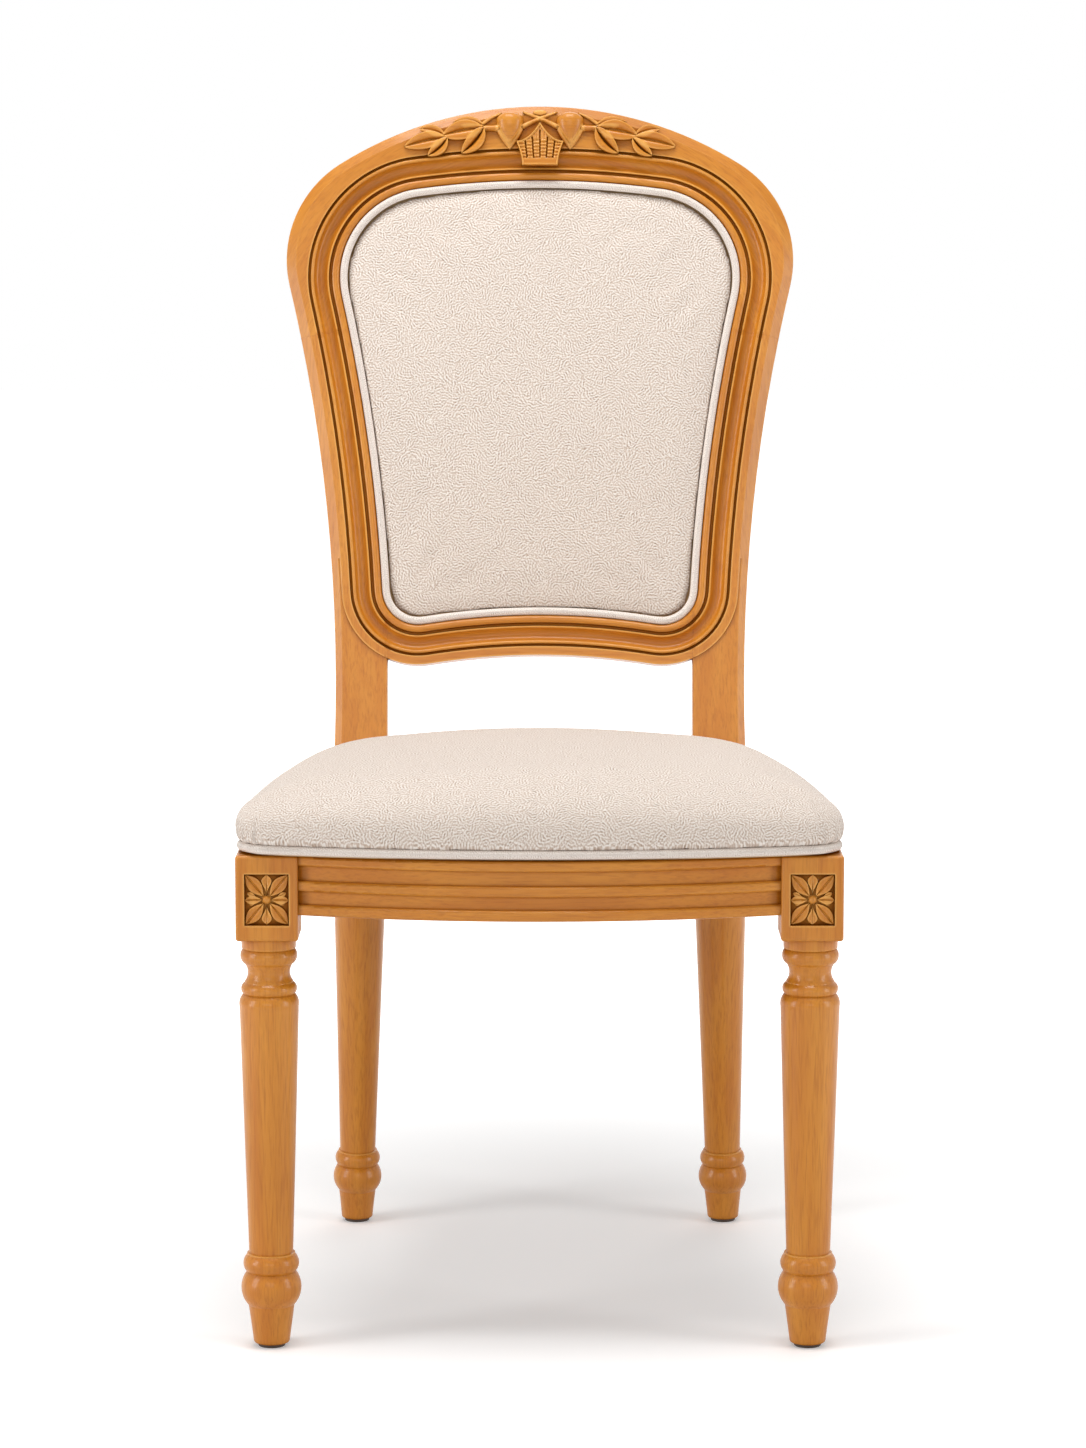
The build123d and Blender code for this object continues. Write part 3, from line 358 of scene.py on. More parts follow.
def outlineOf(nodeName, frameMatrix, centre, level, count):
    # the node's outermost line round centre, in a plane at that level
    mesh = nodes[nodeName].data
    toFrame = frameMatrix.inverted()
    corners = [toFrame @ v.co for v in mesh.vertices]
    tree = BVHTree.FromPolygons(corners, [p.vertices[:] for p in mesh.polygons])
    found = []
    for index in range(count):
        angle = 2 * math.pi * (index + 0.5) / count - math.pi / 2
        way = Vector((math.cos(angle), math.sin(angle), 0))
        # a ray comes in from 1 m out and stops just short of the centre
        start = Vector((centre[0], centre[1], level)) + way
        hit = tree.ray_cast(start, -way, 0.99)[0]
        if hit:
            found.append(Vector((hit.x, hit.y)))
    return found


def outwardOf(line, index, closed=True):
    before = line[index - 1] if closed or index else line[index]
    after = line[(index + 1) % len(line)] if closed or index + 1 < len(line) else line[index]
    run = (after - before).normalized()
    return Vector((run.y, -run.x))


def closeRings(bm, rings, top, under):
    # quads from ring to ring, then a fan to a point at each end
    count = len(rings[0])
    for lower, upper in zip(rings, rings[1:]):
        for i in range(count):
            bm.faces.new((lower[i], lower[(i + 1) % count], upper[(i + 1) % count], upper[i]))
    for i in range(count):
        bm.faces.new((rings[-1][i], rings[-1][(i + 1) % count], top))
        bm.faces.new((rings[0][(i + 1) % count], rings[0][i], under))


def ellipse(middle, wide, high, count):
    turns = [2 * math.pi * i / count for i in range(count)]
    return [(middle[0] + wide * math.cos(a), middle[1] + high * math.sin(a)) for a in turns]


# carving

leaf = {
    "shares": (0.0, 0.05, 0.11, 0.2, 0.32, 0.46, 0.6, 0.74, 0.85, 0.93, 1.0),   # from the vein to the rim
    "foot": 1.02,            # the wall spreads this far at the ground
    "end": 0.02,             # half width of the ends, as a share of the leaf's width
    "overrun": 0.004,
    "veinWidth": 0.16,
}


def carvedLeaf(bm, toWorld, base, tip, width, rise, swell=0.5, point=0.85, vein=0.45, bend=0.0,
               dish=0.0, tipDrop=0.35, steps=26):
    # two rounded halves beside a sunk vein, a crisp rim and an upright wall down to the ground
    base, tip = Vector(base), Vector(tip)
    run = tip - base
    side = Vector((-run.y, run.x)).normalized()
    skew = math.log(0.5) / math.log(swell)
    line = [-s for s in reversed(leaf["shares"][1:])] + list(leaf["shares"])
    rows = []
    for step in range(steps + 1):
        t = step / steps
        half = max(width / 2 * math.sin(math.pi * t ** skew) ** point, width * leaf["end"])
        middle = base + run * t + side * bend * math.sin(math.pi * t)
        arch = 0.72 + 0.28 * math.sin(math.pi * min(1.0, 0.1 + 0.8 * t))
        crown = rise * arch * (1 - tipDrop * t ** 3)
        row = [bm.verts.new(toWorld(middle - side * half * leaf["foot"], 0))]
        for s in line:
            reach = abs(s)
            rounded = math.sin(math.pi * min(1.0, 0.12 + reach * 0.62))
            sunk = vein * math.exp(-(reach / leaf["veinWidth"]) ** 2) * min(1.0, 6 * t, 5 * (1 - t))
            dished = dish * (1 - reach ** 2) * math.sin(math.pi * t)
            height = crown * (0.66 + 0.34 * rounded - sunk - dished)
            row.append(bm.verts.new(toWorld(middle + side * half * s, height)))
        row.append(bm.verts.new(toWorld(middle + side * half * leaf["foot"], 0)))
        rows.append(row)
    # the ends fall to the ground too
    for share in (-leaf["overrun"], 1 + leaf["overrun"]):
        middle = base + run * share
        places = [middle + side * width * leaf["end"] * s for s in [-leaf["foot"]] + line + [leaf["foot"]]]
        closing = [bm.verts.new(toWorld(p, 0)) for p in places]
        rows.insert(0 if share < 0 else len(rows), closing)
    patch(bm, rows, toWorld, base + run / 2)


def patch(bm, rows, toWorld, middle):
    for lower, upper in zip(rows, rows[1:]):
        for i in range(len(lower) - 1):
            bm.faces.new((lower[i], lower[i + 1], upper[i + 1], upper[i]))
    # flat underside
    rim = rows[0] + [line[-1] for line in rows[1:-1]] + rows[-1][::-1] + [line[0] for line in rows[-2:0:-1]]
    centre = bm.verts.new(toWorld(middle, 0))
    for a, b in zip(rim, rim[1:] + rim[:1]):
        bm.faces.new((b, a, centre))


def carvedDome(bm, toWorld, edge, middle, rise, rounds=8, power=2.2):
    # edge is a closed line of points; the dome rises from it to the middle
    middle = Vector(middle)
    rings = []
    for step in range(rounds + 1):
        s = math.cos(math.pi / 2 * step / (rounds + 1))
        height = rise * (1 - s ** power) ** (1 / power) if step else 0
        rings.append([bm.verts.new(toWorld(middle + (Vector(p) - middle) * s, height)) for p in edge])
    top = bm.verts.new(toWorld(middle, rise))
    closeRings(bm, rings, top, bm.verts.new(toWorld(middle, 0)))


def carvedStem(bm, toWorld, start, end, thin, thick, bow=0.0, proud=1.4, steps=14, across=8):
    start, end = Vector(start), Vector(end)
    run = end - start
    side = Vector((-run.y, run.x)).normalized()
    rows = []
    for step in range(steps + 1):
        t = step / steps
        radius = thin + (thick - thin) * t
        middle = start + run * t + side * bow * math.sin(math.pi * t)
        row = []
        for i in range(across + 1):
            angle = math.pi * i / across
            place = middle - side * radius * math.cos(angle)
            row.append(bm.verts.new(toWorld(place, radius * proud * math.sin(angle))))
        rows.append(row)
    patch(bm, rows, toWorld, (start + end) / 2)


def carvedFruit(bm, toWorld, top, tip, half, rise, shoulder, square, taper=1.7, fullness=0.7,
                steps=30, across=20):
    # round at the top, widest at the shoulder, drawn out to a point
    top, tip = Vector(top), Vector(tip)
    rows = []
    for step in range(steps + 1):
        t = (1 - math.cos(math.pi * step / steps)) / 2
        if t < shoulder:
            wide = math.sqrt(max(0.0, 1 - (1 - t / shoulder) ** 2))
        else:
            wide = 1 - ((t - shoulder) / (1 - shoulder)) ** taper
        wide = max(wide, 0.01)
        row = []
        for i in range(across + 1):
            angle = math.pi * i / across
            place = top + (tip - top) * t - Vector((half * wide * math.cos(angle), 0))
            height = rise * wide ** fullness * max(0.0, math.sin(angle)) ** square
            row.append(bm.verts.new(toWorld(place, height)))
        rows.append(row)
    patch(bm, rows, toWorld, (top + tip) / 2)


# basket, fruit and leaf sprays on the crest, in millimetres across and up the back
crestFace = 1.66             # the carving lies on the crest's face
garland = {
    "leaves": (              # base, tip, width, rise, bend, vein; the upper leaves lie lowest
        ((50.0, 585.4), (77.0, 588.2), 9.6, 3.6, 1.6, 0.3),
        ((84.5, 576.6), (107.0, 582.6), 9.0, 3.2, 1.6, 0.3),
        ((50.5, 582.8), (87.0, 575.8), 17.4, 5.2, 1.8, 0.6),
        ((84.0, 574.2), (120.4, 566.2), 15.0, 4.7, 1.4, 0.6),
        ((49.8, 582.8), (69.4, 560.4), 14.6, 6.8, -1.8, 0.75),
        ((82.2, 573.6), (99.4, 558.0), 11.4, 5.8, -1.4, 0.75),
    ),
    "leafShape": {"swell": 0.46, "point": 0.66, "dish": 0.12},
    "stems": (               # start, end, radius at each end, bow
        ((36.0, 582.9), (51.0, 582.9), 3.3, 2.4, 0.0),
        ((34.0, 596.2), (53.0, 585.0), 1.1, 1.9, 1.0),
        ((74.0, 578.0), (87.0, 575.2), 1.3, 1.5, 0.4),
        ((-15.4, 597.2), (16.6, 583.4), 1.0, 2.8, 0.9),
    ),
    "cup": {"top": (26.8, 587.4), "tip": (26.8, 563.9), "half": 12.4, "rise": 4.6,
            "shoulder": 0.10, "square": 0.3},
    "fruit": {"top": (26.8, 597.2), "tip": (26.8, 567.2), "half": 12.2, "rise": 9.6,
              "shoulder": 0.26, "square": 1.0},
    "bud": {"middle": (0.0, 597.0), "wide": 6.2, "high": 2.4, "count": 32},
    "budRise": 1.3,
}


def onCrest(u, v, height):
    return backFrame @ Vector((u / 1000, v / 1000, (crestFace + height) / 1000))


def makeGarland():
    bm = bmesh.new()
    for side in (-1, 1):
        def toWorld(p, height):
            return onCrest(side * p[0], p[1], height)
        for base, tip, width, rise, bend, vein in garland["leaves"]:
            carvedLeaf(bm, toWorld, base, tip, width, rise, bend=bend, vein=vein, **garland["leafShape"])
        for start, end, thin, thick, bow in garland["stems"]:
            carvedStem(bm, toWorld, start, end, thin, thick, bow)
        # the cup's pointed rim stands up round the lower half of the smooth fruit
        carvedFruit(bm, toWorld, **garland["cup"])
        carvedFruit(bm, toWorld, **garland["fruit"])
    bud = garland["bud"]
    carvedDome(bm, lambda p, h: onCrest(p[0], p[1], h), ellipse(**bud), bud["middle"], garland["budRise"])
    return newPiece("crestGarlandCarved", bm, beechAcross, "frame_finish", "crest_garland")


basket = {
    "top": 587.5, "corner": 570.6, "foot": 549.3, "middle": 562.0,
    "halfTop": 21.1, "halfFoot": 15.8,
    "ogee": 2.1, "flare": 1.7,
    "relief": 7.4, "sunk": 0.5,
    "band": 6.0,             # plain band at the foot
    "rim": 1.5, "rimRise": 0.7,
    "strand": 5.3,
    "slotTops": (571.6, 574.4, 580.5, 574.4, 571.6),
    "slotHalf": 0.6, "slotDepth": 2.4, "slotFoot": 0.3, "fan": 0.011,
    "weaver": 3.0, "weaverRise": 0.55, "weaveOver": 1.5,
    "straw": 1.8, "strawRise": 0.25,
    "columns": 150, "rows": 96,
}


def basketTop(s):
    # ogee: hollow from the peak, then out to the corner
    return basket["corner"] + (basket["top"] - basket["corner"]) * (1 - s) ** basket["ogee"]


def basketHalf(v):
    grow = min(1.0, max(0.0, (v - basket["foot"]) / (basket["corner"] - basket["foot"])))
    return basket["halfFoot"] + (basket["halfTop"] - basket["halfFoot"]) * grow ** basket["flare"]


def basketHeight(u, v, edge):
    look = basket
    if edge < look["rim"]:
        turn = math.pi * min(1.0, 0.2 + edge / look["rim"] * 0.8)
        return look["relief"] + look["rimRise"] * math.sin(turn)
    low = look["foot"] + look["band"]
    if v < low:
        return look["relief"]
    height = look["relief"] - look["sunk"]
    flat = u / (1 + look["fan"] * (v - look["foot"]))
    if v < look["corner"] + look["weaveOver"]:
        strand = math.floor(flat / look["strand"])
        turn = 2 * math.pi * (v - low) / look["weaver"] + math.pi * strand
        height += look["weaverRise"] * math.sin(turn)
    else:
        height += look["strawRise"] * math.sin(2 * math.pi * flat / look["straw"])
    for index, top in enumerate(look["slotTops"]):
        gap = abs(flat - (index - 2) * look["strand"]) / look["slotHalf"]
        if gap < 1 and low + look["slotFoot"] < v < top:
            height -= look["slotDepth"] * math.sqrt(1 - gap * gap)
    return height


def makeBasket():
    bm = bmesh.new()
    rows = []
    foot, wide, high = basket["foot"], basket["columns"], basket["rows"]
    drop = basket["ogee"] * (basket["top"] - basket["corner"])

    def toWorld(p, height):
        return onCrest(p[0], p[1], height)
    for i in range(wide + 1):
        s = 2 * i / wide - 1
        top = basketTop(abs(s))
        column = []
        for j in range(high + 1):
            v = foot + (top - foot) * j / high
            half = basketHalf(v)
            u = s * half
            slope = math.hypot(1.0, drop * (1 - abs(s)) ** (basket["ogee"] - 1) / half)
            # along the foot the rim is a quarter as wide
            edge = min(half - abs(u), (top - v) / slope, (v - foot) * 4)
            outer = i in (0, wide) or j in (0, high)
            column.append(bm.verts.new(toWorld((u, v), 0 if outer else basketHeight(u, v, edge))))
        rows.append(column)
    patch(bm, rows, toWorld, (0, basket["middle"]))
    return newPiece("crestBasketCarved", bm, beechAcross, "frame_finish", "crest_basket")


# leaf rosette sunk in each front block, in millimetres from its middle
rosette = {
    "middleX": 217.0, "middleZ": 369.5, "floorY": -247.0, "glue": 0.06,
    "ground": 0.5,           # the leaves grow out of a thin ground
    "halfWide": 17.5, "halfHigh": 20.5,
    "tipDrop": 0.15,
    "corner": {"base": (2.4, 2.8), "tip": (16.9, 20.0), "width": 10.8, "rise": 3.4, "swell": 0.52},
    "upright": {"base": (0.0, 3.2), "tip": (0.0, 20.3), "width": 8.0, "rise": 3.2, "swell": 0.70},
    "side": {"base": (3.2, 0.0), "tip": (17.4, -0.4), "width": 7.0, "rise": 3.3, "swell": 0.60},
    "upperLobe": {"base": (8.2, 2.2), "tip": (15.8, 5.6), "width": 3.9, "rise": 3.0, "swell": 0.60},
    "lowerLobe": {"base": (8.2, -2.0), "tip": (14.6, -3.8), "width": 3.4, "rise": 2.6, "swell": 0.60},
    "domes": ((4.3, 1.6, 6.0), (3.4, 4.8, 2.6)),   # ring, then button: radius, rise, squareness
    "domePoints": 40,
}


def makeRosette(word, side):
    bm = bmesh.new()
    look = rosette

    def toWorld(p, height):
        x = side * look["middleX"] + p[0]
        y = look["floorY"] - look["glue"] - height
        return Vector((x / 1000, y / 1000, (look["middleZ"] + p[1]) / 1000))

    def petal(name, sx, sz, vein, dish=0.0, point=0.9):
        part = look[name]
        base, tip = [(sx * p[0], sz * p[1]) for p in (part["base"], part["tip"])]
        carvedLeaf(bm, toWorld, base, tip, part["width"], part["rise"], swell=part["swell"], point=point,
                   vein=vein, dish=dish, tipDrop=look["tipDrop"])
    plate = [(look["halfWide"] * x, look["halfHigh"] * z) for x, z in ((-1, -1), (1, -1), (1, 1), (-1, 1))]
    lower = [bm.verts.new(toWorld(p, 0)) for p in plate]
    upper = [bm.verts.new(toWorld(p, look["ground"])) for p in plate]
    bm.faces.new(lower)
    bm.faces.new(upper)
    for i in range(4):
        bm.faces.new((lower[i], lower[(i + 1) % 4], upper[(i + 1) % 4], upper[i]))
    for sx in (-1, 1):
        for sz in (-1, 1):
            petal("corner", sx, sz, vein=0.3)
        petal("upperLobe", sx, 1, vein=0.0)
        petal("lowerLobe", sx, 1, vein=0.0)
        petal("side", sx, 1, vein=0.18, dish=0.1, point=0.75)
    for sz in (-1, 1):
        petal("upright", 1, sz, vein=0.12, dish=0.24, point=1.1)
    for radius, rise, power in look["domes"]:
        line = ellipse((0, 0), radius, radius, look["domePoints"])
        carvedDome(bm, toWorld, line, (0, 0), rise, power=power)
    return newPiece(word + "RosetteCarved", bm, beechUpright, "frame_finish", word + "_rosette")


makeGarland()
makeBasket()
makeRosette("left", -1)
makeRosette("right", 1)
print("carving made")


# upholstery

def closedPad(outline, levels, shares, crownAt, floorLevel, toWorld, centre):
    # levels: inset and height, from the underside up to the edge; shares: rings toward the middle
    bm = bmesh.new()
    outward = [outwardOf(outline, i) for i in range(len(outline))]
    middle = Vector(centre)
    rings = []
    for level in levels:
        ring = []
        for i, p in enumerate(outline):
            inset, height = level(p) if callable(level) else level
            ring.append(bm.verts.new(toWorld(p - outward[i] * inset, height)))
        rings.append(ring)
    for share in shares:
        ring = []
        for p in outline:
            q = middle + (p - middle) * share
            ring.append(bm.verts.new(toWorld(q, crownAt(q, (p - q).length))))
        rings.append(ring)
    top = bm.verts.new(toWorld(middle, crownAt(middle, 1.0)))
    closeRings(bm, rings, top, bm.verts.new(toWorld(middle, floorLevel)))
    bmesh.ops.recalc_face_normals(bm, faces=bm.faces)
    return bm


def insetFinder(outline):
    # gives how far inside the outline a point lies, which way is out, and the nearest place on it
    tree = KDTree(len(outline))
    for index, point in enumerate(outline):
        tree.insert((point.x, point.y, 0), index)
    tree.balance()
    outward = [outwardOf(outline, i) for i in range(len(outline))]

    def insetAt(p):
        near = tree.find((p[0], p[1], 0))[1]
        out = outward[near]
        return (outline[near] - Vector((p[0], p[1]))).dot(out), out, outline[near]
    return insetAt


def remeshed(bm, name, voxel):
    piece = addObject(name, meshFrom(bm, name))
    net = piece.modifiers.new("net", "REMESH")
    net.mode = "VOXEL"
    net.voxel_size = voxel
    net.use_smooth_shade = True
    freeze(piece)
    return piece


def freeze(piece):
    # the evaluated shape becomes the piece's plain mesh
    graph = bpy.context.evaluated_depsgraph_get()
    mesh = bpy.data.meshes.new_from_object(piece.evaluated_get(graph), depsgraph=graph)
    piece.modifiers.clear()
    old = piece.data
    piece.data = mesh
    bpy.data.meshes.remove(old)


def inflate(piece, sewn, cap, pressure, frames=20):
    # the cover swells under its filling, held where it is sewn; cap is the most that a point may move
    rest = [v.co.copy() for v in piece.data.vertices]
    group = piece.vertex_groups.new(name="sewn")
    group.add([i for i, co in enumerate(rest) if sewn(co)], 1.0, "ADD")
    cloth = piece.modifiers.new("swell", "CLOTH")
    cloth.settings.quality = 5
    cloth.settings.mass = 0.3
    cloth.settings.tension_stiffness = 18
    cloth.settings.compression_stiffness = 18
    cloth.settings.bending_stiffness = 1.0
    cloth.settings.use_pressure = True
    cloth.settings.uniform_pressure_force = pressure
    cloth.settings.vertex_group_mass = "sewn"
    cloth.settings.effector_weights.gravity = 0
    cloth.collision_settings.use_collision = False
    cloth.point_cache.frame_start = 1
    cloth.point_cache.frame_end = frames
    for step in range(1, frames + 1):
        scene.frame_set(step)
    freeze(piece)
    piece.vertex_groups.clear()
    moved = 0.0
    for v, start in zip(piece.data.vertices, rest):
        shift = v.co - start
        moved = max(moved, shift.length)
        if shift.length > cap:
            v.co = start + shift * (cap / shift.length)
    scene.frame_set(1)
    print("  swelled", piece.name, "by up to", round(moved * 1000, 1), "mm before the cap")


def subdivided(piece):
    fine = piece.modifiers.new("fine", "SUBSURF")
    fine.levels = fine.render_levels = 1
    freeze(piece)


def setRun(piece, flat):
    # where each point lies on the flat cloth
    layer = piece.data.uv_layers.new(name="clothRun")
    for loop in piece.data.loops:
        layer.data[loop.index].uv = flat[loop.vertex_index]


# boxed seat over a crowned foam, sewn to a welt along its lower edge
seat = {
    "centre": (0.0, -0.05),
    "rays": 300, "outlineLevel": 0.4193,
    "crownTop": 0.4761,
    "crownHalf": 0.244, "crownDrop": 0.020, "crownPower": 1.83,
    "crownDeep": 1.625,
    "crownMiddleY": -0.1246,
    "roll": 0.077,
    "rollPower": 2.75,
    "floor": 0.4053, "seamLevel": 0.4140, "widest": 0.4250,
    "bulge": 0.0022, "bulgeEndY": 0.14, "bulgeFade": 0.04,
    "tuckTop": 0.4137, "tuck": 0.0088,      # below the seam the cover stays behind its welt
    "voxel": 0.0047,
    "sewnBelow": 0.4175, "swellCap": 0.0012, "pressure": 3.0,
    "sway": 0.0007, "swaysPerMetre": 11,    # a faint unevenness of the filling
    "easing": 0.004,
}
# small upright folds where the cover turns the front corners
folds = {
    "deep": 0.0009,
    "corner": (0.236, -0.244), "reach": 0.030,
    "lowest": 0.413, "level": 0.416, "high": 0.014,
    "turnAt": (0.21, -0.215), "perTurn": 22, "stray": 3, "straysPerMetre": 40,
}
seatOutline = outlineOf("seat_cover", seatFrame, seat["centre"], seat["outlineLevel"], seat["rays"])
seatInset = insetFinder(seatOutline)


def seatCrown(p):
    back = p[1] - seat["crownMiddleY"]
    across = (abs(p[0]) / seat["crownHalf"]) ** seat["crownPower"]
    return seat["crownTop"] - seat["crownDrop"] * across - back ** 2 / (2 * seat["crownDeep"])


def seatBulge(p):
    # the side swells out a little, but not where it passes the rear legs
    return seat["bulge"] * min(1.0, max(0.0, (seat["bulgeEndY"] - p[1]) / seat["bulgeFade"]))


def seatRound(p, inside):
    # the cover's height at a place so far inside the widest line
    near = min(1.0, max(0.0, 1 - inside / seat["roll"]))
    power = seat["rollPower"]
    return seat["widest"] + (seatCrown(p) - seat["widest"]) * (1 - near ** power) ** (1 / power)


def cornerFold(q, co):
    aside, ahead = abs(q.x) - folds["corner"][0], q.y - folds["corner"][1]
    corner = math.exp(-(aside ** 2 + ahead ** 2) / folds["reach"] ** 2)
    high = math.exp(-((co.z - folds["level"]) / folds["high"]) ** 2) if co.z > folds["lowest"] else 0.0
    turn = math.atan2(q.y - folds["turnAt"][1], abs(q.x) - folds["turnAt"][0])
    stray = folds["stray"] * noise.noise(co * folds["straysPerMetre"])
    return folds["deep"] * corner * high * math.sin(turn * folds["perTurn"] + stray)


def makeSeatCushion():
    seam, widest, floor = seat["seamLevel"], seat["widest"], seat["floor"]

    def below(share, inset, swell):
        return lambda p: (inset - seatBulge(p) * swell, seam + share * (widest - seam))

    def above(inside):
        return lambda p: (inside - seatBulge(p), seatRound(p, inside))

    def topAt(q, reach):
        return seatRound(q, seatInset(q)[0] + seatBulge(q))

    def toWorld(p, z):
        return Vector((p[0], p[1], z))
    side = [(0.0092, floor), (seat["tuck"], 0.4128), (0.0026, seam),
            below(0.15, 0.0008, 0), below(0.4, 0.0, 0.45), below(0.7, 0.0, 0.85)]
    side += [above(inside) for inside in (0.0, 0.0002, 0.0008, 0.002, 0.004, 0.007)]
    shares = [0.975, 0.96, 0.935, 0.90, 0.85, 0.78, 0.69, 0.58, 0.45, 0.3, 0.15]
    bm = closedPad(seatOutline, side, shares, topAt, floor, toWorld, seat["centre"])
    piece = remeshed(bm, "seatCushion", seat["voxel"])
    inflate(piece, lambda co: co.z < seat["sewnBelow"], seat["swellCap"], seat["pressure"])
    subdivided(piece)
    for v in piece.data.vertices:
        inset, out, near = seatInset(v.co)
        outward = Vector((out.x, out.y, 0))
        sway = seat["sway"] * noise.noise(v.co * seat["swaysPerMetre"]) if v.co.z > widest else 0.0
        v.co += outward * cornerFold(near, v.co) + Vector((0, 0, sway))
        if v.co.z < seat["tuckTop"] and inset < seat["tuck"]:
            v.co -= outward * (seat["tuck"] - inset)

    def flatten(co):
        drop = max(0.0, seatCrown(co) - co.z - seat["easing"])
        return Vector((co.x, co.y)) + seatInset(co)[1] * drop
    setRun(piece, [flatten(v.co) for v in piece.data.vertices])
    piece.data.materials.append(linenPad)
    declare(piece, "linen", "seat_cover", "seat_foam")


makeSeatCushion()
print("seat cushion made")


def onPanel(p, w):
    return backFrame @ Vector((p[0], p[1], w))


def panelRun(piece):
    setRun(piece, [(backInverse @ v.co).to_2d() for v in piece.data.vertices])


# padded panel in the back's opening
backPad = {
    "centre": (0.0, 0.35),
    "rays": 280, "outlineLevel": -0.0066,
    "floor": -0.0132,
    "crown": 0.0068,
    "crownRadius": 2.2,
    "crownMiddle": 0.34375,
    "roll": 0.016,
    "rollDrop": 0.0065,
    "voxel": 0.004,
    "sewnBelow": -0.006, "swellCap": 0.0008, "pressure": 2.0,
    "sway": 0.0005, "swaysPerMetre": 12, "swayAbove": -0.004,
}
padOutline = outlineOf("back_cover", backFrame, backPad["centre"], backPad["outlineLevel"], backPad["rays"])
padInset = insetFinder(padOutline)


def padTop(q, reach):
    close = max(0.0, 1 - max(0.0, padInset(q)[0]) / backPad["roll"])
    r2 = q[0] ** 2 + (q[1] - backPad["crownMiddle"]) ** 2
    dome = backPad["crown"] - r2 / (2 * backPad["crownRadius"])
    return dome - backPad["rollDrop"] * (1 - math.sqrt(max(0.0, 1 - close * close)))


def makeBackPad():
    side = [(0.0012, backPad["floor"]), (0.0006, -0.0115), (0.0, -0.0100)]
    shares = [1.0, 0.996, 0.985, 0.968, 0.945, 0.91, 0.86, 0.79, 0.7, 0.58, 0.44, 0.28, 0.13]
    bm = closedPad(padOutline, side, shares, padTop, backPad["floor"], onPanel, backPad["centre"])
    piece = remeshed(bm, "backPad", backPad["voxel"])
    inflate(piece, lambda co: (backInverse @ co).z < backPad["sewnBelow"], backPad["swellCap"],
            backPad["pressure"])
    subdivided(piece)
    for v in piece.data.vertices:
        local = backInverse @ v.co
        if local.z > backPad["swayAbove"]:
            local.z += backPad["sway"] * noise.noise(v.co * backPad["swaysPerMetre"])
            v.co = backFrame @ local
    panelRun(piece)
    piece.data.materials.append(linenPad)
    declare(piece, "linen", "back_cover", "back_foam")


makeBackPad()
print("back pad made")

# linen stretched over the rear of the back board, turned in at its edge
rearPanel = {
    "centre": (0.0, 0.35),
    "rays": 220, "outlineLevel": -0.0215,
    "floor": -0.0202, "back": -0.0268,
    "crown": 0.0010, "crownHalf": 0.2,
    "roll": 0.010, "rollDrop": 0.0035,
    "voxel": 0.004,
}


def rearTop(q, reach):
    turned = max(0.0, 1 - reach / rearPanel["roll"]) ** 2
    crown = rearPanel["crown"] * (1 - (q[0] / rearPanel["crownHalf"]) ** 2)
    return rearPanel["back"] - crown + rearPanel["rollDrop"] * turned


def makeRearPanel():
    look = rearPanel
    outline = outlineOf("back_rear_cover", backFrame, look["centre"], look["outlineLevel"], look["rays"])
    side = [(0.0006, look["floor"]), (0.0002, -0.0215), (0.0002, -0.0230)]
    shares = [1.0, 0.995, 0.985, 0.97, 0.945, 0.91, 0.86, 0.78, 0.68, 0.56, 0.42, 0.27, 0.12]
    bm = closedPad(outline, side, shares, rearTop, look["floor"], onPanel, look["centre"])
    piece = remeshed(bm, "rearPanel", look["voxel"])
    subdivided(piece)
    panelRun(piece)
    piece.data.materials.append(linenPad)
    declare(piece, "linen", "back_rear_cover")


makeRearPanel()
print("rear panel made")


# welts follow a path, so geometry nodes make them

def pathObject(name, points, closed):
    mesh = bpy.data.meshes.new(name)
    count = len(points)
    edges = [(i, i + 1) for i in range(count - 1)] + ([(count - 1, 0)] if closed else [])
    mesh.from_pydata(points, edges, [])
    return addObject(name, mesh)


def newTree(name, inputs):
    tree = bpy.data.node_groups.new(name, "GeometryNodeTree")
    tree.interface.new_socket("Geometry", in_out="INPUT", socket_type="NodeSocketGeometry")
    for label, kind in inputs:
        tree.interface.new_socket(label, in_out="INPUT", socket_type=kind)
    tree.interface.new_socket("Geometry", in_out="OUTPUT", socket_type="NodeSocketGeometry")
    return tree, addNode(tree, "NodeGroupInput"), addNode(tree, "NodeGroupOutput")


def runTree(piece, tree, values):
    modifier = piece.modifiers.new("tree", "NODES")
    modifier.node_group = tree
    for item in tree.interface.items_tree:
        if item.in_out == "INPUT" and item.name in values:
            modifier[item.identifier] = values[item.name]
    freeze(piece)
    smooth(piece.data)


# a cord wrapped in a bias strip: a round tube that swells a little along its length
welt = {"step": 0.004, "sides": 18, "uneven": 0.10, "lumpsPerMetre": 60.0}
weltTree, given, out = newTree("weltTree", (
    ("Radius", "NodeSocketFloat"), ("Step", "NodeSocketFloat"), ("Uneven", "NodeSocketFloat"),
    ("Cloth", "NodeSocketMaterial")))
curve = addNode(weltTree, "GeometryNodeMeshToCurve", {}, {0: given.outputs["Geometry"]})
even = addNode(weltTree, "GeometryNodeResampleCurve", {"mode": "LENGTH"}, {
    "Curve": curve.outputs[0], "Length": given.outputs["Step"]})
spot = addNode(weltTree, "GeometryNodeInputPosition")
lumps = noiseOver(weltTree, spot.outputs[0], welt["lumpsPerMetre"], 1.0)
lump = calc(weltTree, "MULTIPLY_ADD", lumps, given.outputs["Uneven"], 1.0)
along = addNode(weltTree, "GeometryNodeSplineParameter")
swollen = addNode(weltTree, "GeometryNodeSetCurveRadius", {}, {"Curve": even.outputs[0], "Radius": lump})
marked = addNode(weltTree, "GeometryNodeStoreNamedAttribute", {"data_type": "FLOAT", "domain": "POINT"}, {
    "Geometry": swollen.outputs[0], "Name": "along", "Value": along.outputs["Length"]})
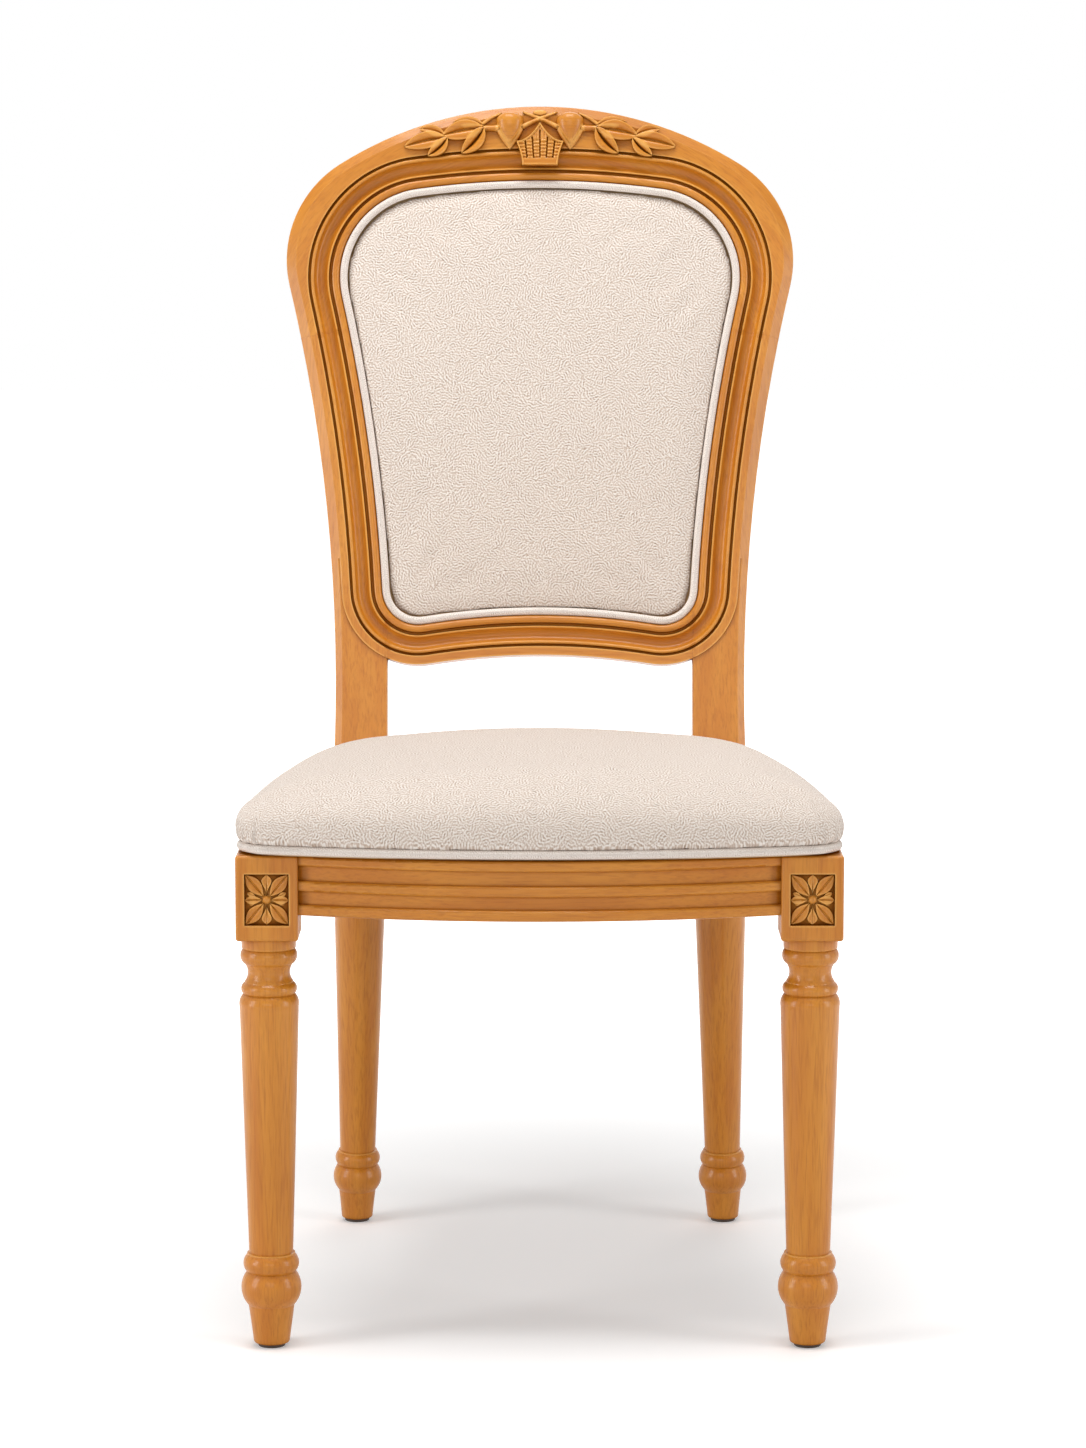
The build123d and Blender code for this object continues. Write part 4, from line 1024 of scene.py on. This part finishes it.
circle = addNode(weltTree, "GeometryNodeCurvePrimitiveCircle", {}, {
    "Resolution": welt["sides"], "Radius": given.outputs["Radius"]})
around = addNode(weltTree, "GeometryNodeSplineParameter")
ring = addNode(weltTree, "GeometryNodeStoreNamedAttribute", {"data_type": "FLOAT", "domain": "POINT"}, {
    "Geometry": circle.outputs[0], "Name": "around", "Value": around.outputs["Length"]})
tube = addNode(weltTree, "GeometryNodeCurveToMesh", {}, {
    "Curve": marked.outputs[0], "Profile Curve": ring.outputs[0], "Fill Caps": True})
real = addNode(weltTree, "GeometryNodeRealizeInstances", {}, {0: tube.outputs[0]})
dressed = addNode(weltTree, "GeometryNodeSetMaterial", {}, {
    "Geometry": real.outputs[0], "Material": given.outputs["Cloth"]})
weltTree.links.new(dressed.outputs[0], out.inputs[0])


def makeWelt(name, points, closed, radius, *replaced):
    piece = pathObject(name, points, closed)
    runTree(piece, weltTree, {
        "Radius": radius, "Step": welt["step"], "Uneven": welt["uneven"], "Cloth": linenWeltPaintedHighlight})
    run = piece.data.attributes["along"].data
    turn = piece.data.attributes["around"].data
    print("  " + name, "is", round(max(r.value for r in run), 3), "m long")
    # the strip is cut on the bias
    setRun(piece, [(r.value + t.value, r.value - t.value) for r, t in zip(run, turn)])
    return declare(piece, "welt_cloth", *replaced)


seatWelt = {"radius": 0.0035, "level": 0.4103, "rays": 420, "cutY": 0.143, "endY": 0.1485}


def makeSeatWelt():
    look = seatWelt
    line = outlineOf("seat_welt", seatFrame, seat["centre"], look["level"], look["rays"])
    line = [p for p in line if p.y < look["cutY"]]
    # start the open path behind the left corner, so that it runs round the front to the other side
    start = max(range(len(line)), key=lambda i: (line[i] - line[i - 1]).length)
    line = line[start:] + line[:start]
    path = [p - outwardOf(line, i, False) * look["radius"] for i, p in enumerate(line)]
    # both ends run straight on to the rear legs
    for end, inner in ((0, 1), (-1, -2)):
        run = (path[end] - path[inner]).normalized()
        last = path[end] + run * ((look["endY"] - path[end].y) / run.y)
        path.insert(0 if end == 0 else len(path), last)
    makeWelt("seatWelt", [(p.x, p.y, look["level"]) for p in path], False, look["radius"], "seat_welt")


backWelt = {"radius": 0.0033, "level": -0.0043, "rays": 360}


def makeBackWelt():
    look = backWelt
    line = outlineOf("back_welt", backFrame, backPad["centre"], look["level"], look["rays"])
    path = [p - outwardOf(line, i) * look["radius"] for i, p in enumerate(line)]
    makeWelt("backWelt", [onPanel(p, look["level"]) for p in path], True, look["radius"], "back_welt")


makeSeatWelt()
makeBackWelt()
print("welts made")

# lining stretched under the seat
dust = {
    "sag": 0.004, "thick": 0.0008, "clear": 0.0001,
    "ripple": 0.0006, "ripples": 6,
    "cells": 28,
    "edge": 0.002,           # points this near the front or rear edge give its width
}


def makeDustCover():
    bm = bmesh.new()
    low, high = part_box("seat_dust_cover")
    corners = [v.co for v in nodes["seat_dust_cover"].data.vertices]
    front = max(co.x for co in corners if co.y < low.y + dust["edge"])
    rear = max(co.x for co in corners if co.y > high.y - dust["edge"])
    top = high.z - dust["thick"] - dust["clear"]
    rows = []
    for j in range(dust["cells"] + 1):
        t = j / dust["cells"]
        y = low.y + (high.y - low.y) * t
        half = front + (rear - front) * t
        row = []
        for i in range(dust["cells"] + 1):
            s = 2 * i / dust["cells"] - 1
            hang = dust["sag"] * (1 - s * s) * (1 - (2 * t - 1) ** 2)
            ripple = dust["ripple"] * noise.noise(Vector((s * dust["ripples"], t * dust["ripples"], 2.0)))
            row.append(bm.verts.new((s * half, y, top - hang - abs(ripple))))
        rows.append(row)
    for lower, upper in zip(rows, rows[1:]):
        for i in range(dust["cells"]):
            bm.faces.new((lower[i], upper[i], upper[i + 1], lower[i + 1]))
    bmesh.ops.recalc_face_normals(bm, faces=bm.faces)
    mesh = meshFrom(bm, "dustCover")
    mesh.materials.append(spunbond)
    piece = addObject("dustCover", mesh)
    wall = piece.modifiers.new("wall", "SOLIDIFY")
    wall.thickness = dust["thick"]
    wall.offset = 1.0
    freeze(piece)
    smooth(piece.data)
    declare(piece, "dust_cloth", "seat_dust_cover")


makeDustCover()
print("dust cover made")

# the room: pale floor and softboxes
stage = {
    "floor": "#F2F2F2", "floorHalf": 14,
    "floorGlow": 0.25, "floorNear": 0.5, "floorFar": 1.5,
    "worldLight": 0.25,
}
white = (1, 1, 1, 1)


def makeFloor():
    bm = bmesh.new()
    bmesh.ops.create_grid(bm, x_segments=1, y_segments=1, size=stage["floorHalf"])
    mesh = meshFrom(bm, "floor")
    floor = addObject("floor", mesh)
    material, tree, shader = newMaterial("paintedFloor")
    shader.inputs["Base Color"].default_value = linear(stage["floor"])
    shader.inputs["Roughness"].default_value = 0.9
    shader.inputs["Specular IOR Level"].default_value = 0.0
    ray = addNode(tree, "ShaderNodeLightPath")
    seen = calc(tree, "MAXIMUM", ray.outputs["Is Camera Ray"], ray.outputs["Is Glossy Ray"])
    # far from the chair the floor runs out into the white of the room
    place = addNode(tree, "ShaderNodeTexCoord").outputs["Object"]
    reach = addNode(tree, "ShaderNodeVectorMath", {"operation": "LENGTH"}, {0: place})
    far = addNode(tree, "ShaderNodeMapRange", {"interpolation_type": "SMOOTHSTEP"}, {
        "Value": reach.outputs["Value"], "From Min": stage["floorNear"], "From Max": stage["floorFar"],
        "To Min": stage["floorGlow"], "To Max": 1.0})
    tree.links.new(calc(tree, "MULTIPLY", seen, far.outputs[0]), shader.inputs["Emission Strength"])
    shader.inputs["Emission Color"].default_value = white
    mesh.materials.append(material)


def makeWorld():
    world = bpy.data.worlds.new("studio")
    scene.world = world
    world.use_nodes = True
    tree = world.node_tree
    sky = tree.nodes["Background"]
    ray = addNode(tree, "ShaderNodeLightPath")
    seen = calc(tree, "MAXIMUM", ray.outputs["Is Camera Ray"], ray.outputs["Is Glossy Ray"])
    seen = calc(tree, "MAXIMUM", seen, ray.outputs["Is Transmission Ray"])
    sky.inputs["Color"].default_value = white
    tree.links.new(ranged(tree, seen, 0.0, 1.0, stage["worldLight"]), sky.inputs["Strength"])


lamps = {
    "leftBox": {"at": (-2.75, -1.25, 1.1), "size": (1.0, 2.0), "power": 36},
    "rightBox": {"at": (2.85, -1.2, 1.05), "size": (1.0, 2.0), "power": 30},
    "frontBox": {"at": (-0.4, -4.4, 1.7), "size": (2.6, 1.6), "power": 23},
    "topBox": {"at": (-0.15, -0.45, 3.2), "size": (1.8, 1.2), "power": 60},
    "rearBox": {"at": (0.7, 3.4, 2.4), "size": (2.4, 1.6), "power": 26},
}
lampTarget = Vector((0, 0, 0.5))


def makeLamps():
    for name, look in lamps.items():
        data = bpy.data.lights.new(name, "AREA")
        data.shape = "RECTANGLE"
        data.size, data.size_y = look["size"]
        data.energy = look["power"]
        lamp = addObject(name, data)
        lamp.location = look["at"]
        aim = lampTarget - Vector(look["at"])
        lamp.rotation_euler = aim.to_track_quat("-Z", "Y").to_euler()


view = {"at": (0.0027, -3.749, 0.9637), "down": 7.38, "lens": 110.93, "sensor": 36}


def makeCamera():
    data = bpy.data.cameras.new("camera")
    data.lens = view["lens"]
    data.sensor_width = view["sensor"]
    camera = addObject("camera", data)
    camera.location = view["at"]
    camera.rotation_euler = (math.radians(90 - view["down"]), 0, 0)
    scene.camera = camera


makeFloor()
makeWorld()
makeLamps()
makeCamera()
scene.view_settings.view_transform = "Standard"
print("stage and camera set")
